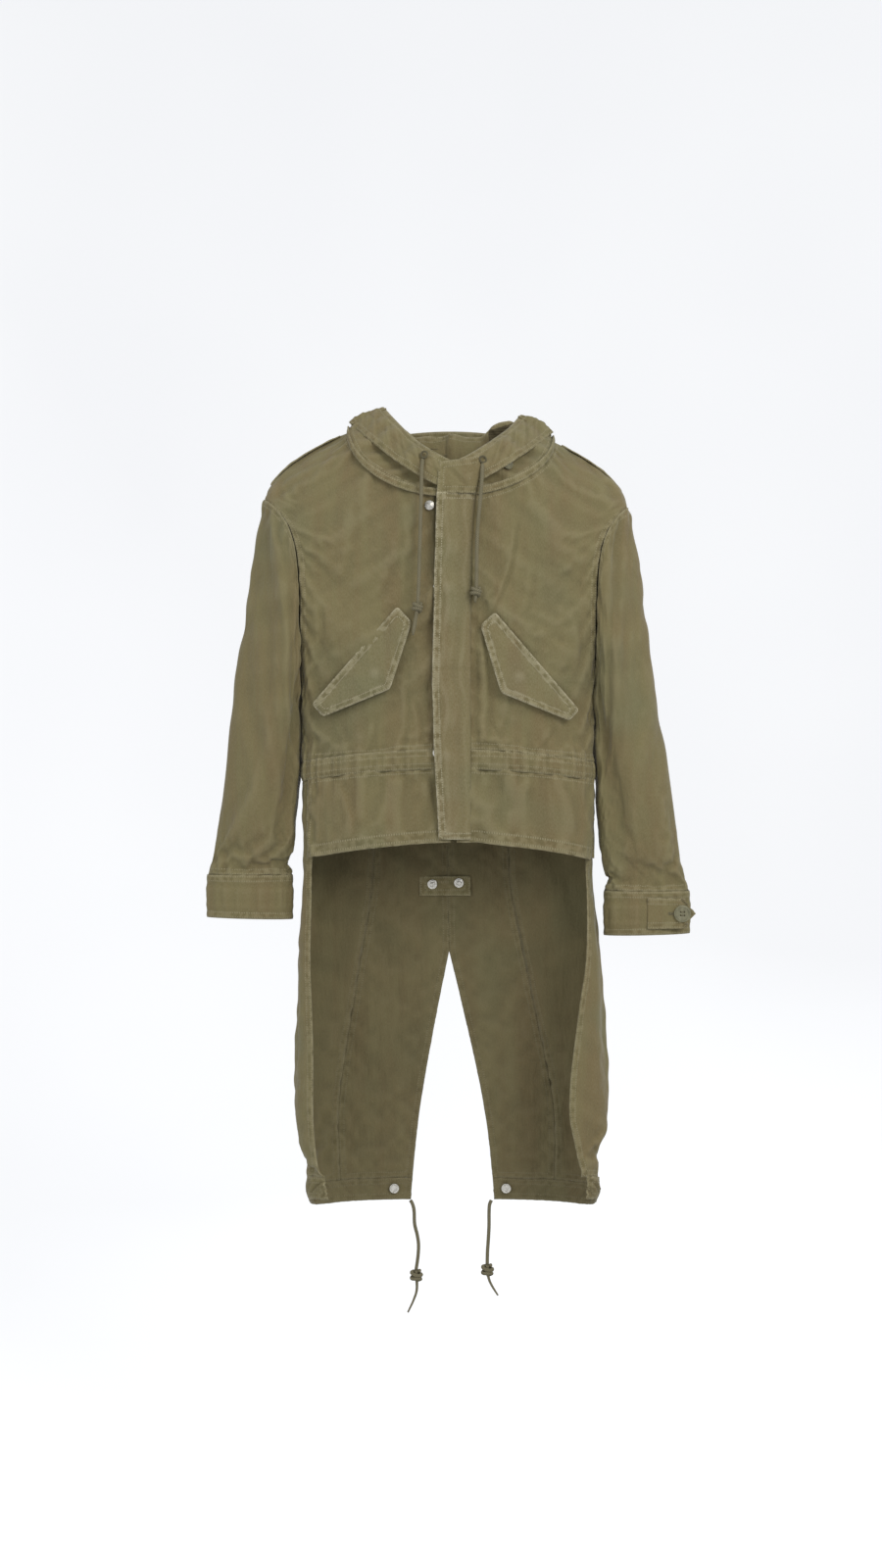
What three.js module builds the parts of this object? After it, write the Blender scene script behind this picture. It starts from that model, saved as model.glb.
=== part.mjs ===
// Hooded cotton over-jacket with a cropped front and a long split tail, as it hangs from its shoulders.
// Millimetres, +Z up, the front faces -Y, +X is the wearer's left. The origin is the middle of the neck
// opening at the height where the shoulder seams bear on a hanger. The wearer's left hangs a little lower.
import * as THREE from 'three';
import { mergeVertices } from 'three/addons/utils/BufferGeometryUtils.js';

// ---- driving dimensions -------------------------------------------------------------------------------
const wall = 3;                 // two layers of cotton and their seam allowance
const seamGap = 0.4;            // gap kept between pieces that are sewn edge to edge
const layGap = 1.4;             // gap kept under a piece that lies on a curved one
const frontDepth = 70;          // front cloth, ahead of the shoulder seams
const backDepth = 74;           // back cloth, behind the shoulder seams
const boxiness = 3;             // 2 is an ellipse in plan, higher is squarer
const shoulderRound = 150;      // height over which the shoulder rolls over
const armholeSpread = 0.5;       // how much squarer the body gets for each mm above the underarm
const zipX = 8;                 // centre line of the front opening
const openingWidth = 8;         // between the two front edges, over the zip
const waistZ = -442;            // top of the waist casing at the centre
const waistSag = 16;            // the waist is this much lower at the sides
const casingHeight = 28;
const hemZ = -571;              // front hem at the centre
const hemSag = 25;
const splitZ = -734;            // top of the split in the tail
const legTopZ = -745;           // line about which the two tail legs swing
const tailCasingZ = -1070;
const tailZ = -1102;
const neckFrontZ = -90;
const neckBackZ = -8;
const bandHeight = 7;
const sleeveGap = 2;
const cuffHeight = 62;
const cuffHalfWidth = 60;
const cuffHalfDepth = 22;
const studRadius = 7;
const buttonRadius = 12;
const cordRadius = 2;

// the body below the arms: half its width, how much it widens at the hips and draws in at the tail's hem
const waistHalfWidth = 207;
const hipFlare = 14;
const tailTuck = 17;
const tailLean = 7;             // the tail hangs this much to the wearer's left
const edgeGap = 0.15;           // degrees, about half a millimetre of seam gap
const seamDegrees = 57;         // how far round from the front centre the side seams are
const ridgeRise = 30;           // the shoulder seam rises by this much towards the neck
const casingStand = 1;          // the drawn-up casings stand this far out

// the front opening: the storm flap, and the zip with its tapes under it
const flapLeft = -17;
const flapRight = 32;
const flapTop = -52;
const flapStand = 3.6;
const tapeWidth = 14;
const tapeTop = -96;
const sliderTop = -104;
const frontStud = [-26, -104];  // in x and z

// pocket flaps, corners in x and z: the sewn edge first, from the top inner corner to the bottom outer one
const flapCorners = {
  right: [[-70.6, -244], [-190, -378.6], [-174.4, -396.7], [-80.2, -358.7], [-50.4, -266.6]],
  left: [[64.7, -251.7], [182.7, -386.9], [168.6, -402.2], [72.8, -364.1], [44.4, -270.7]],
};
const flapTilt = 0.125;         // a flap turns back towards the side by this much
const flapAhead = 14;           // a flap's inner face at the centre, ahead of the front cloth
const pocketBag = { top: -262, bottom: -425, topInner: 84, bottomInner: 62, outer: 160, inside: 6 };

// cuff tabs and shoulder straps
const tabHeight = 44;
const tabNose = 12;
const halfStrap = 19;
const strapArch = 3.5;
const strapStand = 2;

// the hood: its sides, its hanging crown and the webbing strap behind the wearer's left face edge
const neckLift = 3.4;
const sideShare = 0.93;
const sideInset = 2 * wall - 2.5;  // its sides start this far inside the neck band
const sideLift = 1;
const sideStart = { turn: 0.3, brim: 0.16 };  // its side panels start this far from the front centre
const bagMiddleX = 4;
const bagTop = 20;
const bagLength = 280;
const bagHalfWidth = 112;
const bagDepth = 26;            // half of the room that the hanging crown keeps open
const hoodStrap = { fromX: 62, toX: 92, fromZ: -2, toZ: 30, y: 36 - 2 * wall, thick: 2 };

// the tab and studs inside the tail, and the sockets on its hem, in x and z
const tab = { fromX: -41.5, toX: 33.5, topZ: -625.6, bottomZ: -654.4, thick: 2.4 };
const tabStuds = { right: [-22.8, -637.5], left: [16.2, -635.5] };
const socketRise = 17;
const socketSpots = { right: [-79, tailZ + socketRise], left: [86, tailZ + socketRise] };

// cords from the exit down to the free end, or to the knot, in x, y and z: the hood's from the face of the
// front cloth, the tail's from the back cloth at its hem
const cords = {
  hood_cord_right: [[-34, 6, -36.5], [-34.8, 1, -38.5], [-35.6, -4.5, -44], [-36.4, -9.5, -56],
    [-36.9, -11.8, -74], [-37.4, -12.5, -98], [-38.3, -12.5, -130], [-39.3, -12.5, -165],
    [-40.2, -12.5, -200], [-41.5, -12.5, -232], [-43, -12.5, -250], [-46, -12.5, -268], [-49, -12.5, -285]],
  hood_cord_left: [[47.5, 5, -43.5], [47.6, 0, -45.5], [47.4, -5.5, -51], [46.8, -10, -62], [45.6, -12, -80],
    [43.5, -12.5, -104], [41, -12.5, -132], [39.5, -12.5, -160], [39.2, -12.5, -188], [39, -12.5, -210],
    [38.2, -12.5, -226], [37, -12.5, -240]],
  tail_cord_right: [[-55, -4, -1], [-52, -4, -6], [-49.6, -5, -16], [-48.8, -6, -35], [-45, -6, -51],
    [-43, -6, -66], [-44, -6, -84], [-46.6, -6, -102]],
  tail_cord_left: [[64, -4, -1], [61.5, -4, -7], [60.7, -5, -18], [60.6, -6, -38], [59.6, -6, -58],
    [58.4, -6, -76], [58, -6, -94]],
};
const knots = {
  right: { top: [-46.7, -6, -102.6], end: [-58.7, -6, -165] },
  left: { top: [58, -6, -94.6], end: [73.7, -6, -140] },
};
const hangFrom = { hood: [0, -frontDepth, 0], tail: [0, backDepth, tailZ] };

// neck point N, shoulder point T and underarm point U on each side, and the top of the cuff C
const right = { sign: -1, neckX: 140, neckZ: 12, tipX: 260, tipZ: -88, armX: 208, armZ: -318,
  bulge: 8, cuffX: 283, cuffZ: -619 };
const left = { sign: 1, neckX: 148, neckZ: -1, tipX: 255, tipZ: -99, armX: 208, armZ: -315,
  bulge: 5, cuffX: 284, cuffZ: -642 };
const sides = { right, left };

const olive = new THREE.Color('#7b7250');
const oliveInside = new THREE.Color('#5f5638');
const cordOlive = new THREE.Color('#7c7660');
const silver = new THREE.Color('#c4c4c0');
const webbing = new THREE.Color('#4d473c');
const buttonOlive = new THREE.Color('#5d5a3e');

const looks = {
  cotton: { color: olive, roughness: 0.9, metalness: 0 },
  lining: { color: oliveInside, roughness: 0.92, metalness: 0 },
  cord: { color: cordOlive, roughness: 0.9, metalness: 0 },
  metal: { color: silver, roughness: 0.3, metalness: 1 },
  webbing: { color: webbing, roughness: 0.9, metalness: 0 },
  button: { color: buttonOlive, roughness: 0.45, metalness: 0 },
};

const jacket = new THREE.Group();
const { lerp, clamp, degToRad } = THREE.MathUtils;

// ---- solids -------------------------------------------------------------------------------------------
// Moves every vertex of a closed primitive to place(x, y, z) and keeps its faces pointing out.
function bend(primitive, place) {
  const bare = primitive.clone();
  bare.deleteAttribute('normal');
  bare.deleteAttribute('uv');
  const solid = mergeVertices(bare, 1e-5);
  const spots = solid.attributes.position;
  const spot = new THREE.Vector3();
  for (let i = 0; i < spots.count; i += 1) {
    spot.fromBufferAttribute(spots, i);
    spots.setXYZ(i, ...place(spot.x, spot.y, spot.z));
  }
  const corners = [];
  const index = solid.index.array;
  for (let i = 0; i < index.length; i += 3) {
    const face = [index[i], index[i + 1], index[i + 2]];
    if (new Set(face).size === 3) corners.push(face);
  }
  const volume = corners.reduce((sum, [a, b, c]) => sum + spotVolume(spots, a, b, c), 0);
  solid.setIndex(corners.flatMap(([a, b, c]) => (volume < 0 ? [a, c, b] : [a, b, c])));
  solid.computeVertexNormals();
  return solid;
}

function spotVolume(spots, a, b, c) {
  const [p, q, r] = [a, b, c].map((i) => new THREE.Vector3().fromBufferAttribute(spots, i));
  return p.dot(q.cross(r));
}

function add(name, geometry, look) {
  const mesh = new THREE.Mesh(geometry, new THREE.MeshStandardMaterial(looks[look]));
  mesh.name = name;
  jacket.add(mesh);
  return mesh;
}

// A sheet of cloth: place(u, v, w) with u and v from 0 to 1 over it, w from low to high through it.
function sheet(place, across, along, low = -wall, high = 0) {
  const slab = new THREE.BoxGeometry(1, 1, 1, across, along, 1);
  return bend(slab, (x, y, z) => place(x + 0.5, y + 0.5, lerp(low, high, z + 0.5)));
}

// A tube of cloth, open at both ends: place(turn, v, w), turn in radians round it.
function sleeveTube(place, around, along, low = -wall, high = 0) {
  const profile = [];
  for (let i = 0; i <= along; i += 1) profile.push(new THREE.Vector2(2, i / along));
  for (let i = along; i >= 0; i -= 1) profile.push(new THREE.Vector2(1, i / along));
  profile.push(profile[0].clone());
  return bend(new THREE.LatheGeometry(profile, around), (x, y, z) => {
    const w = Math.hypot(x, z) > 1.5 ? high : low;
    return place(Math.atan2(x, z), y, w);
  });
}

// A small turned piece standing on a point of the cloth, its face along the outward direction.
function turned(name, profile, point, outward, look, faces = 14) {
  const points = profile.map(([radius, height]) => new THREE.Vector2(radius, height));
  const mesh = add(name, bend(new THREE.LatheGeometry(points, faces), (x, y, z) => [x, y, z]), look);
  mesh.position.set(...point);
  mesh.quaternion.setFromUnitVectors(new THREE.Vector3(0, 1, 0), new THREE.Vector3(...outward).normalize());
  return mesh;
}

// ---- the body's surface -------------------------------------------------------------------------------
// Point at an angle on a unit outline whose corners are squarer than an ellipse's: [sideways, forwards].
function squircle(angle) {
  const s = Math.sin(angle);
  const c = Math.cos(angle);
  const size = (Math.abs(s) ** boxiness + Math.abs(c) ** boxiness) ** (1 / boxiness);
  return [s / size, c / size];
}

const angleAt = (share) => Math.atan2(share, (1 - Math.abs(share) ** boxiness) ** (1 / boxiness));

const smooth = (t) => {
  const s = clamp(t, 0, 1);
  return s * s * (3 - 2 * s);
};

// Half width of the body below the arms, and how far its middle leans, at a height.
function halfWidth(z) {
  const flare = hipFlare * smooth((-600 - z) / 160);
  const tuck = tailTuck * smooth((-930 - z) / 170);
  return waistHalfWidth + flare - tuck;
}
const lean = (z) => tailLean * smooth((-560 - z) / 500);

// Height of the shoulder seam over a place on the shoulder, and its distance out at a height.
function ridgeZ(side, x) {
  if (x <= side.neckX) return side.neckZ + ridgeRise * (1 - (x / side.neckX) ** 2);
  const share = clamp((x - side.neckX) / (side.tipX - side.neckX), 0, 1);
  return side.neckZ - (side.neckZ - side.tipZ) * (1 - Math.sqrt(1 - share));
}
function ridgeX(side, z) {
  const share = clamp((side.neckZ - z) / (side.neckZ - side.tipZ), 0, 1);
  return side.neckX + (side.tipX - side.neckX) * (1 - (1 - share) ** 2);
}

// Outer edge of the front and back cloth: side seam, then armhole, then shoulder seam.
function outerX(side, z) {
  if (z < side.armZ) return halfWidth(z);
  if (z > side.tipZ) return ridgeX(side, z);
  const share = (z - side.armZ) / (side.tipZ - side.armZ);
  return side.armX - 1 + (side.tipX - side.armX + 1) * share ** 6;
}

const fullWidth = (side, z) => halfWidth(z) + Math.max(0, z - side.armZ) * armholeSpread;

// Depth of the cloth at a place on the upper body, without its thickness.
function depthAt(side, x, z, depth) {
  const below = clamp((ridgeZ(side, x) - z) / shoulderRound, 0, 1);
  const across = (1 - clamp(x / fullWidth(side, z), 0, 1) ** boxiness) ** (1 / boxiness);
  return (depth - wall - seamGap) * Math.sqrt(1 - (1 - below) ** 2) * across;
}

// Upper body: share runs from the centre (0) to the outer edge (1); facing is -1 in front, 1 behind.
function upper(side, facing, startX, share, z, w) {
  const width = fullWidth(side, z);
  const edge = angleAt(Math.min(outerX(side, z - w) / width, 0.999999));
  const angle = lerp(angleAt(startX / width), edge, share);
  const x = (width + Math.min(w, 0)) * squircle(angle)[0];
  const depth = facing < 0 ? frontDepth : backDepth;
  const y = seamGap + wall + w + depthAt(side, Math.abs(x), z, depth);
  return [side.sign * x, facing * y, z];
}

// Neckline height over a distance from the centre.
function necklineZ(side, x, centreZ) {
  const share = clamp(Math.abs(x) / side.neckX, 0, 1);
  return centreZ + (side.neckZ - centreZ) * (1 - Math.sqrt(1 - share * share));
}

// Height at which a column of the upper body meets the neckline.
function topOf(side, facing, startX, share) {
  const centreZ = facing < 0 ? neckFrontZ : neckBackZ;
  let low = centreZ - 20;
  let high = side.neckZ;
  for (let i = 0; i < 30; i += 1) {
    const z = (low + high) / 2;
    const x = upper(side, facing, startX, share, z, 0)[0];
    if (z < necklineZ(side, x, centreZ)) low = z;
    else high = z;
  }
  return (low + high) / 2;
}

// The waist, at a share of the half width.
const waistAt = (share) => waistZ - waistSag * share * share;
const hemAt = (share) => hemZ - hemSag * share * share;

// Evenly spaced rows moved so that one lies on the underarm and one on the shoulder point.
function rowShare(side, v, bottom, top) {
  const arm = (side.armZ - bottom) / (top - bottom);
  const tip = (side.tipZ - bottom) / (top - bottom);
  if (v < 0.25) return lerp(0, arm, v / 0.25);
  if (v < 0.75) return lerp(arm, tip, (v - 0.25) / 0.5);
  return lerp(tip, 1, (v - 0.75) / 0.25);
}

function upperPanel(side, facing, startX, share, v, w) {
  const bottom = waistAt(Math.abs(squircle(share * Math.PI / 2)[0])) + seamGap;
  const top = topOf(side, facing, startX, share);
  const edgeRow = rowShare(side, v, waistAt(1), side.neckZ);
  const z = lerp(bottom, top, lerp(v, edgeRow, share));
  return upper(side, facing, startX, share, z, w);
}

function frontPanel(name, side) {
  const startX = side.sign * zipX + openingWidth / 2;
  add(name, sheet((u, v, w) => upperPanel(side, -1, startX, u, v, w), 8, 16), 'cotton');
}

function backPanel() {
  const place = (u, v, w) => {
    const across = 2 * u - 1;
    const side = across < 0 ? right : left;
    return upperPanel(side, 1, 0, Math.abs(across), v, w);
  };
  add('back_upper', sheet(place, 14, 16), 'cotton');
}

// Lower body: angle in degrees from the front centre line, 90 at the side, 180 behind.
function lower(side, degrees, z, w) {
  const [across, forward] = squircle(degToRad(degrees));
  const depth = forward > 0 ? frontDepth : backDepth;
  return [lean(z) + side.sign * (halfWidth(z) + w) * across, -(depth + w) * forward, z];
}

const degreesAt = (x, z) => THREE.MathUtils.radToDeg(angleAt(x / halfWidth(z)));

// Free front edge of the tail, the long seam behind, and the inner edge of a tail leg, by height.
const frontEdge = (side, z) => (side === right
  ? seamDegrees - 6 * smooth((-600 - z) / 480)
  : seamDegrees - 15 * Math.sin(Math.PI * clamp((-600 - z) / 560, 0, 0.94)) ** 1.5);
const longSeam = (side, z) => (side === right ? 151 : 156) - 17 * smooth((-590 - z) / 520);
const splitEdge = (z) => {
  const share = clamp((splitZ - z) / (splitZ - tailZ), 0, 1);
  return 180 - edgeGap - 17 * (1 - (1 - share) ** 1.3);
};

const shareOf = (degrees) => Math.abs(squircle(degToRad(degrees))[0]);
const waistEnd = (degrees) => waistAt(shareOf(degrees)) - casingHeight;

// A strip of the lower body between two angles and two heights, each a function of the other.
function lowerStrip(side, from, to, bottom, top, low, high) {
  return (u, v, w) => {
    const guess = lerp(from(top(90)), to(top(90)), u);
    const z = lerp(bottom(guess), top(guess), v);
    const degrees = lerp(from(z), to(z), u);
    return lower(side, degrees, lerp(bottom(degrees), top(degrees), v), lerp(low, high, (w + wall) / wall));
  };
}

function waistCasings() {
  const top = (degrees) => waistAt(shareOf(degrees)) - seamGap;
  for (const [name, side] of Object.entries(sides)) {
    const start = degreesAt(side.sign * zipX + openingWidth / 2, waistZ);
    const strip = lowerStrip(side, () => start, () => seamDegrees - edgeGap, waistEnd, top, -wall, casingStand);
    add(`waist_casing_${name}`, sheet(strip, 8, 1), 'cotton');
  }
  const place = (u, v, w) => {
    const degrees = lerp(seamDegrees + edgeGap, 360 - seamDegrees - edgeGap, u);
    const behind = degrees > 180 ? 360 - degrees : degrees;
    const z = lerp(waistEnd(behind), top(behind), v);
    return lower(degrees > 180 ? left : right, behind, z, w);
  };
  add('waist_casing_back', sheet(place, 20, 1, -wall, casingStand), 'cotton');
}

function skirts() {
  for (const [name, side] of Object.entries(sides)) {
    const start = degreesAt(side.sign * zipX + openingWidth / 2, hemZ);
    const strip = lowerStrip(side, () => start, () => seamDegrees - edgeGap - 2,
      (degrees) => hemAt(shareOf(degrees)), (degrees) => waistEnd(degrees) - seamGap, -wall, 0);
    add(`skirt_${name}`, sheet(strip, 8, 4), 'cotton');
  }
}

function tailPanels() {
  const top = (degrees) => waistEnd(degrees) - seamGap;
  for (const [name, side] of Object.entries(sides)) {
    const seam = (z) => longSeam(side, z);
    const pieces = [
      ['side', (z) => frontEdge(side, z), (z) => seam(z) - edgeGap, 7],
      ['centre', (z) => seam(z) + edgeGap, splitEdge, 4],
    ];
    for (const [part, from, to, across] of pieces) {
      const tail = lowerStrip(side, from, to, () => legTopZ + seamGap, top, -wall, 0);
      add(`tail_${part}_${name}`, sheet(tail, across, 4), 'cotton');
      const leg = lowerStrip(side, from, to, () => tailCasingZ + seamGap, () => legTopZ - seamGap, -wall, 0);
      add(`leg_${part}_${name}`, sheet(leg, across, 7), 'cotton');
    }
    const hem = lowerStrip(side, (z) => frontEdge(side, z) + 3, splitEdge,
      () => tailZ, () => tailCasingZ - seamGap, -wall, casingStand);
    add(`tail_casing_${name}`, sheet(hem, 10, 1), 'cotton');
  }
}

// ---- sleeves and cuffs --------------------------------------------------------------------------------
// The sleeve's own edge round the armhole. turn is 0 at the shoulder point, pi at the underarm.
function armhole(side, turn, w) {
  const middle = (side.tipZ + side.armZ) / 2;
  const reach = (side.tipZ - side.armZ) / 2;
  const z = middle + reach * Math.cos(turn);
  const x = outerX(side, z);
  const forward = Math.sin(turn);
  const depth = depthAt(side, x, z, forward > 0 ? frontDepth : backDepth);
  const y = -Math.sign(forward) * depth - (w + wall) * forward;
  return [x + sleeveGap, y, middle + (reach + w) * Math.cos(turn)];
}

function cuffRing(side, turn, z, w) {
  const across = Math.cos(turn);
  const forward = Math.sin(turn);
  return [side.cuffX + (cuffHalfWidth + w) * across, -(cuffHalfDepth + w) * forward, z];
}

function sleevePoint(side, turn, v, w) {
  const top = armhole(side, turn, w);
  const end = cuffRing(side, turn, side.cuffZ + seamGap, w);
  const swell = 4 * v * (1 - v);
  const x = lerp(top[0], end[0], v) + side.bulge * Math.max(0, Math.cos(turn)) * swell;
  const y = lerp(top[1], end[1], v) - 10 * Math.sin(turn) * swell;
  return [side.sign * x, y, lerp(top[2], end[2], v)];
}

function sleeves() {
  for (const [name, side] of Object.entries(sides)) {
    add(`sleeve_${name}`, sleeveTube((turn, v, w) => sleevePoint(side, turn, v, w), 20, 8), 'cotton');
    const cuff = (turn, v, w) => {
      const [x, y, z] = cuffRing(side, turn, side.cuffZ - v * cuffHeight, w);
      return [side.sign * x, y, z];
    };
    add(`cuff_${name}`, sleeveTube(cuff, 20, 2, -wall, casingStand), 'cotton');
  }
}

// A flat pointed tab standing off one face of the cuff, from its sewn end to past the cuff's edge.
function cuffTab(name, side, facing, sewnX, pointX) {
  const middleZ = side.cuffZ - cuffHeight / 2;
  const y = cuffHalfDepth + casingStand + layGap;
  const outline = new THREE.Shape();
  const nose = Math.sign(pointX - sewnX) * tabNose;
  outline.moveTo(sewnX, -tabHeight / 2);
  outline.lineTo(pointX - nose, -tabHeight / 2);
  outline.lineTo(pointX, 0);
  outline.lineTo(pointX - nose, tabHeight / 2);
  outline.lineTo(sewnX, tabHeight / 2);
  const plate = new THREE.ExtrudeGeometry(outline, { depth: wall, bevelEnabled: false });
  add(`cuff_tab_${name}`, bend(plate, (x, h, d) => [side.sign * x, facing * (y + d), middleZ + h]), 'cotton');
  const buttonX = pointX - nose * 1.6;
  turned(`cuff_button_${name}`, [[0, 0], [buttonRadius - 1, 0], [buttonRadius, 1.5], [buttonRadius - 2, 3.2],
    [buttonRadius - 4, 2.4], [0, 2.4]], [side.sign * buttonX, facing * (y + wall + seamGap), middleZ + 3],
  [0, facing, 0], 'button', 20);
}

function shoulderStraps() {
  for (const [name, side] of Object.entries(sides)) {
    const place = (u, v, w) => {
      const x = lerp(side.tipX - 10, side.neckX + 12, u);
      const y = lerp(-halfStrap, halfStrap, v);
      const arch = strapArch * (y / halfStrap) ** 2;
      return [side.sign * x, y, ridgeZ(side, x) + wall + layGap + strapStand - arch + w];
    };
    add(`shoulder_strap_${name}`, sheet(place, 8, 2), 'cotton');
  }
}

// ---- front opening ------------------------------------------------------------------------------------
// A spot on the front cloth near the centre line, standing w outside it.
const frontSpot = (x, z, w) => {
  const side = x < 0 ? right : left;
  const depth = depthAt(side, Math.abs(x), Math.min(z, neckFrontZ), frontDepth);
  return [x, -(seamGap + wall + depth + w), z];
};

function frontOpening() {
  const flap = (u, v, w) => frontSpot(lerp(flapLeft, flapRight, u), lerp(hemZ + 1, flapTop, v), w);
  add('storm_flap', sheet(flap, 3, 12, flapStand, flapStand + wall), 'cotton');
  for (const [name, side] of Object.entries(sides)) {
    const tapeX = (u) => zipX + side.sign * lerp(1, tapeWidth, u);
    const tape = (u, v, w) => frontSpot(tapeX(u), lerp(hemZ + 8, tapeTop, v), w);
    add(`zip_tape_${name}`, sheet(tape, 1, 10, -wall - 3, -wall - layGap), 'lining');
  }
  const slider = new THREE.BoxGeometry(6.4, 3.6, 14);
  const body = add('zip_slider', bend(slider, (x, y, z) => [x * (z > 0 ? 1 : 0.75), y, z]), 'metal');
  body.position.set(zipX, frontSpot(zipX, sliderTop, -1.6)[1], sliderTop);
  const pull = new THREE.BoxGeometry(5, 1.2, 30);
  const tag = add('zip_pull', bend(pull, (x, y, z) => [x * (z > 0 ? 0.8 : 1), y, z]), 'metal');
  tag.position.set(zipX, frontSpot(zipX, sliderTop, 1.5)[1], sliderTop - 16);
  const [studX, studZ] = frontStud;
  turned('front_stud', [[0, 0], [studRadius, 0], [studRadius, 1.2], [3.4, 1.6], [3.2, 3.6], [0, 3.6]],
    frontSpot(studX, studZ, seamGap), [0, -1, 0], 'metal');
}

// ---- pockets ------------------------------------------------------------------------------------------
// Distance of the flat flap's inner face in front of the shoulder seams.
const flapY = (x) => flapTilt * Math.abs(x) - frontDepth - flapAhead;

function pockets() {
  for (const [name, corners] of Object.entries(flapCorners)) {
    const outline = new THREE.Shape(corners.map(([x, z]) => new THREE.Vector2(x, z)));
    const plate = new THREE.ExtrudeGeometry(outline, { depth: wall - 0.5, bevelEnabled: false });
    add(`pocket_flap_${name}`, bend(plate, (x, z, d) => [x, flapY(x) - d, z]), 'cotton');
    const side = sides[name];
    const bag = (u, v, w) => {
      const inner = lerp(pocketBag.bottomInner, pocketBag.topInner, v);
      return insideFront(side, lerp(inner, pocketBag.outer, u), lerp(pocketBag.bottom, pocketBag.top, v), w);
    };
    const outerFace = -wall - pocketBag.inside;
    add(`pocket_bag_${name}`, sheet(bag, 5, 5, outerFace - wall, outerFace), 'lining');
  }
}

// A spot inside the front cloth, at a distance from the centre.
function insideFront(side, x, z, w) {
  return [side.sign * x, -(seamGap + wall + w + depthAt(side, x, z, frontDepth)), z];
}

// ---- neck and hood ------------------------------------------------------------------------------------
// Round the neckline, angle in radians from the front centre, positive to the wearer's left.
function neckSpot(angle) {
  const side = angle < 0 ? right : left;
  const turn = Math.abs(angle);
  const facing = turn < Math.PI / 2 ? -1 : 1;
  const x = side.neckX * Math.sin(turn);
  const centreZ = facing < 0 ? neckFrontZ : neckBackZ;
  const z = centreZ + (side.neckZ - centreZ) * (1 - Math.abs(Math.cos(turn)));
  const depth = depthAt(side, x, z, facing < 0 ? frontDepth : backDepth);
  return new THREE.Vector3(side.sign * x, facing * depth, z);
}

// Direction straight out of the neck opening, level.
const neckOut = (angle) => new THREE.Vector3(Math.sin(angle), -Math.cos(angle), 0);

function neckPoint(angle, rise, w) {
  return neckSpot(angle).addScaledVector(neckOut(angle), w + wall).add(new THREE.Vector3(0, 0, rise));
}

const curve = (points) => new THREE.QuadraticBezierCurve3(...points.map((p) => new THREE.Vector3(...p)));

// The face edge of the hood, folded down: upper edge, lower edge, from the front centre to its peak.
const brims = {
  right: { upper: curve([[zipX - 1, 3 - frontDepth, -43], [-45, 16 - frontDepth, -12], [-92, 6, 50]]),
    lower: curve([[zipX - 2, 1 - frontDepth, -78], [-78, 2 - frontDepth, -32], [-142, 2, 27]]) },
  left: { upper: curve([[zipX + 1, 3 - frontDepth, -43], [52, 16 - frontDepth, -14], [104, 6, 39]]),
    lower: curve([[zipX + 2, 1 - frontDepth, -78], [82, 2 - frontDepth, -38], [151, 2, 13]]) },
};

function brimPoint(name, u, v, w) {
  const { upper: high, lower: low } = brims[name];
  const spot = low.getPoint(u).lerp(high.getPoint(u), v);
  const across = high.getPoint(u).sub(low.getPoint(u));
  const out = across.cross(high.getTangent(u)).normalize();
  if (out.y > 0) out.negate();
  return spot.addScaledVector(out, w);
}

function hood() {
  add('neck_band', sleeveTube((turn, v, w) => neckPoint(turn, neckLift + v * bandHeight, w).toArray(),
    36, 1, layGap + 0.6, layGap + 2), 'cotton');
  for (const [name, side] of Object.entries(sides)) {
    add(`hood_brim_${name}`, sheet((u, v, w) => brimPoint(name, u, v, w).toArray(), 10, 3, -wall, 0), 'cotton');
    const middle = (u, v) => {
      const turn = side.sign * lerp(sideStart.turn, Math.PI / 2 * sideShare, u);
      const foot = neckPoint(turn, neckLift + seamGap + bandHeight + sideLift, -sideInset);
      const head = brims[name].lower.getPoint(lerp(sideStart.brim, 0.98, u));
      head.addScaledVector(neckOut(turn), -2 * sideInset);
      head.z -= 2.5 * wall;
      return foot.lerp(head, v);
    };
    const panel = (u, v, w) => {
      const up = middle(u, 1).sub(middle(u, 0));
      const across = middle(u + 0.01, v).sub(middle(u - 0.01, v));
      return middle(u, v).addScaledVector(up.cross(across).normalize(), w).toArray();
    };
    add(`hood_side_${name}`, sheet(panel, 10, 2, -wall / 2, wall / 2), 'cotton');
  }
  const back = (u, v, w) => {
    const turn = lerp(1.78, 2 * Math.PI - 1.78, u);
    const angle = turn > Math.PI ? turn - 2 * Math.PI : turn;
    const centre = Math.abs(Math.cos(turn));
    const rise = neckLift + seamGap + bandHeight;
    const height = lerp(rise, 30 - 6 * (1 - centre), v);
    return neckPoint(angle, height, w).add(new THREE.Vector3(0, 6 * v * centre, 0)).toArray();
  };
  add('hood_back', sheet(back, 12, 2), 'lining');
  add('hood_bag', hoodBag(), 'cotton');
}

// The crown of the hood, hanging empty down the back, open at its top: an outer and an inner cup.
function hoodBag() {
  const rows = 9;
  const cup = (radius, i) => new THREE.Vector2(radius * Math.sin((1 - i / rows) * Math.PI / 2), i / rows);
  const profile = [];
  for (let i = rows; i >= 0; i -= 1) profile.push(cup(2, i));
  for (let i = 0; i <= rows; i += 1) profile.push(cup(1, i));
  return bend(new THREE.LatheGeometry(profile, 20), (x, y, z) => {
    const outer = Math.hypot(x, z) > 1.5 * Math.sin((1 - y) * Math.PI / 2);
    return bagPoint(Math.atan2(x, z), y, outer);
  });
}

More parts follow.
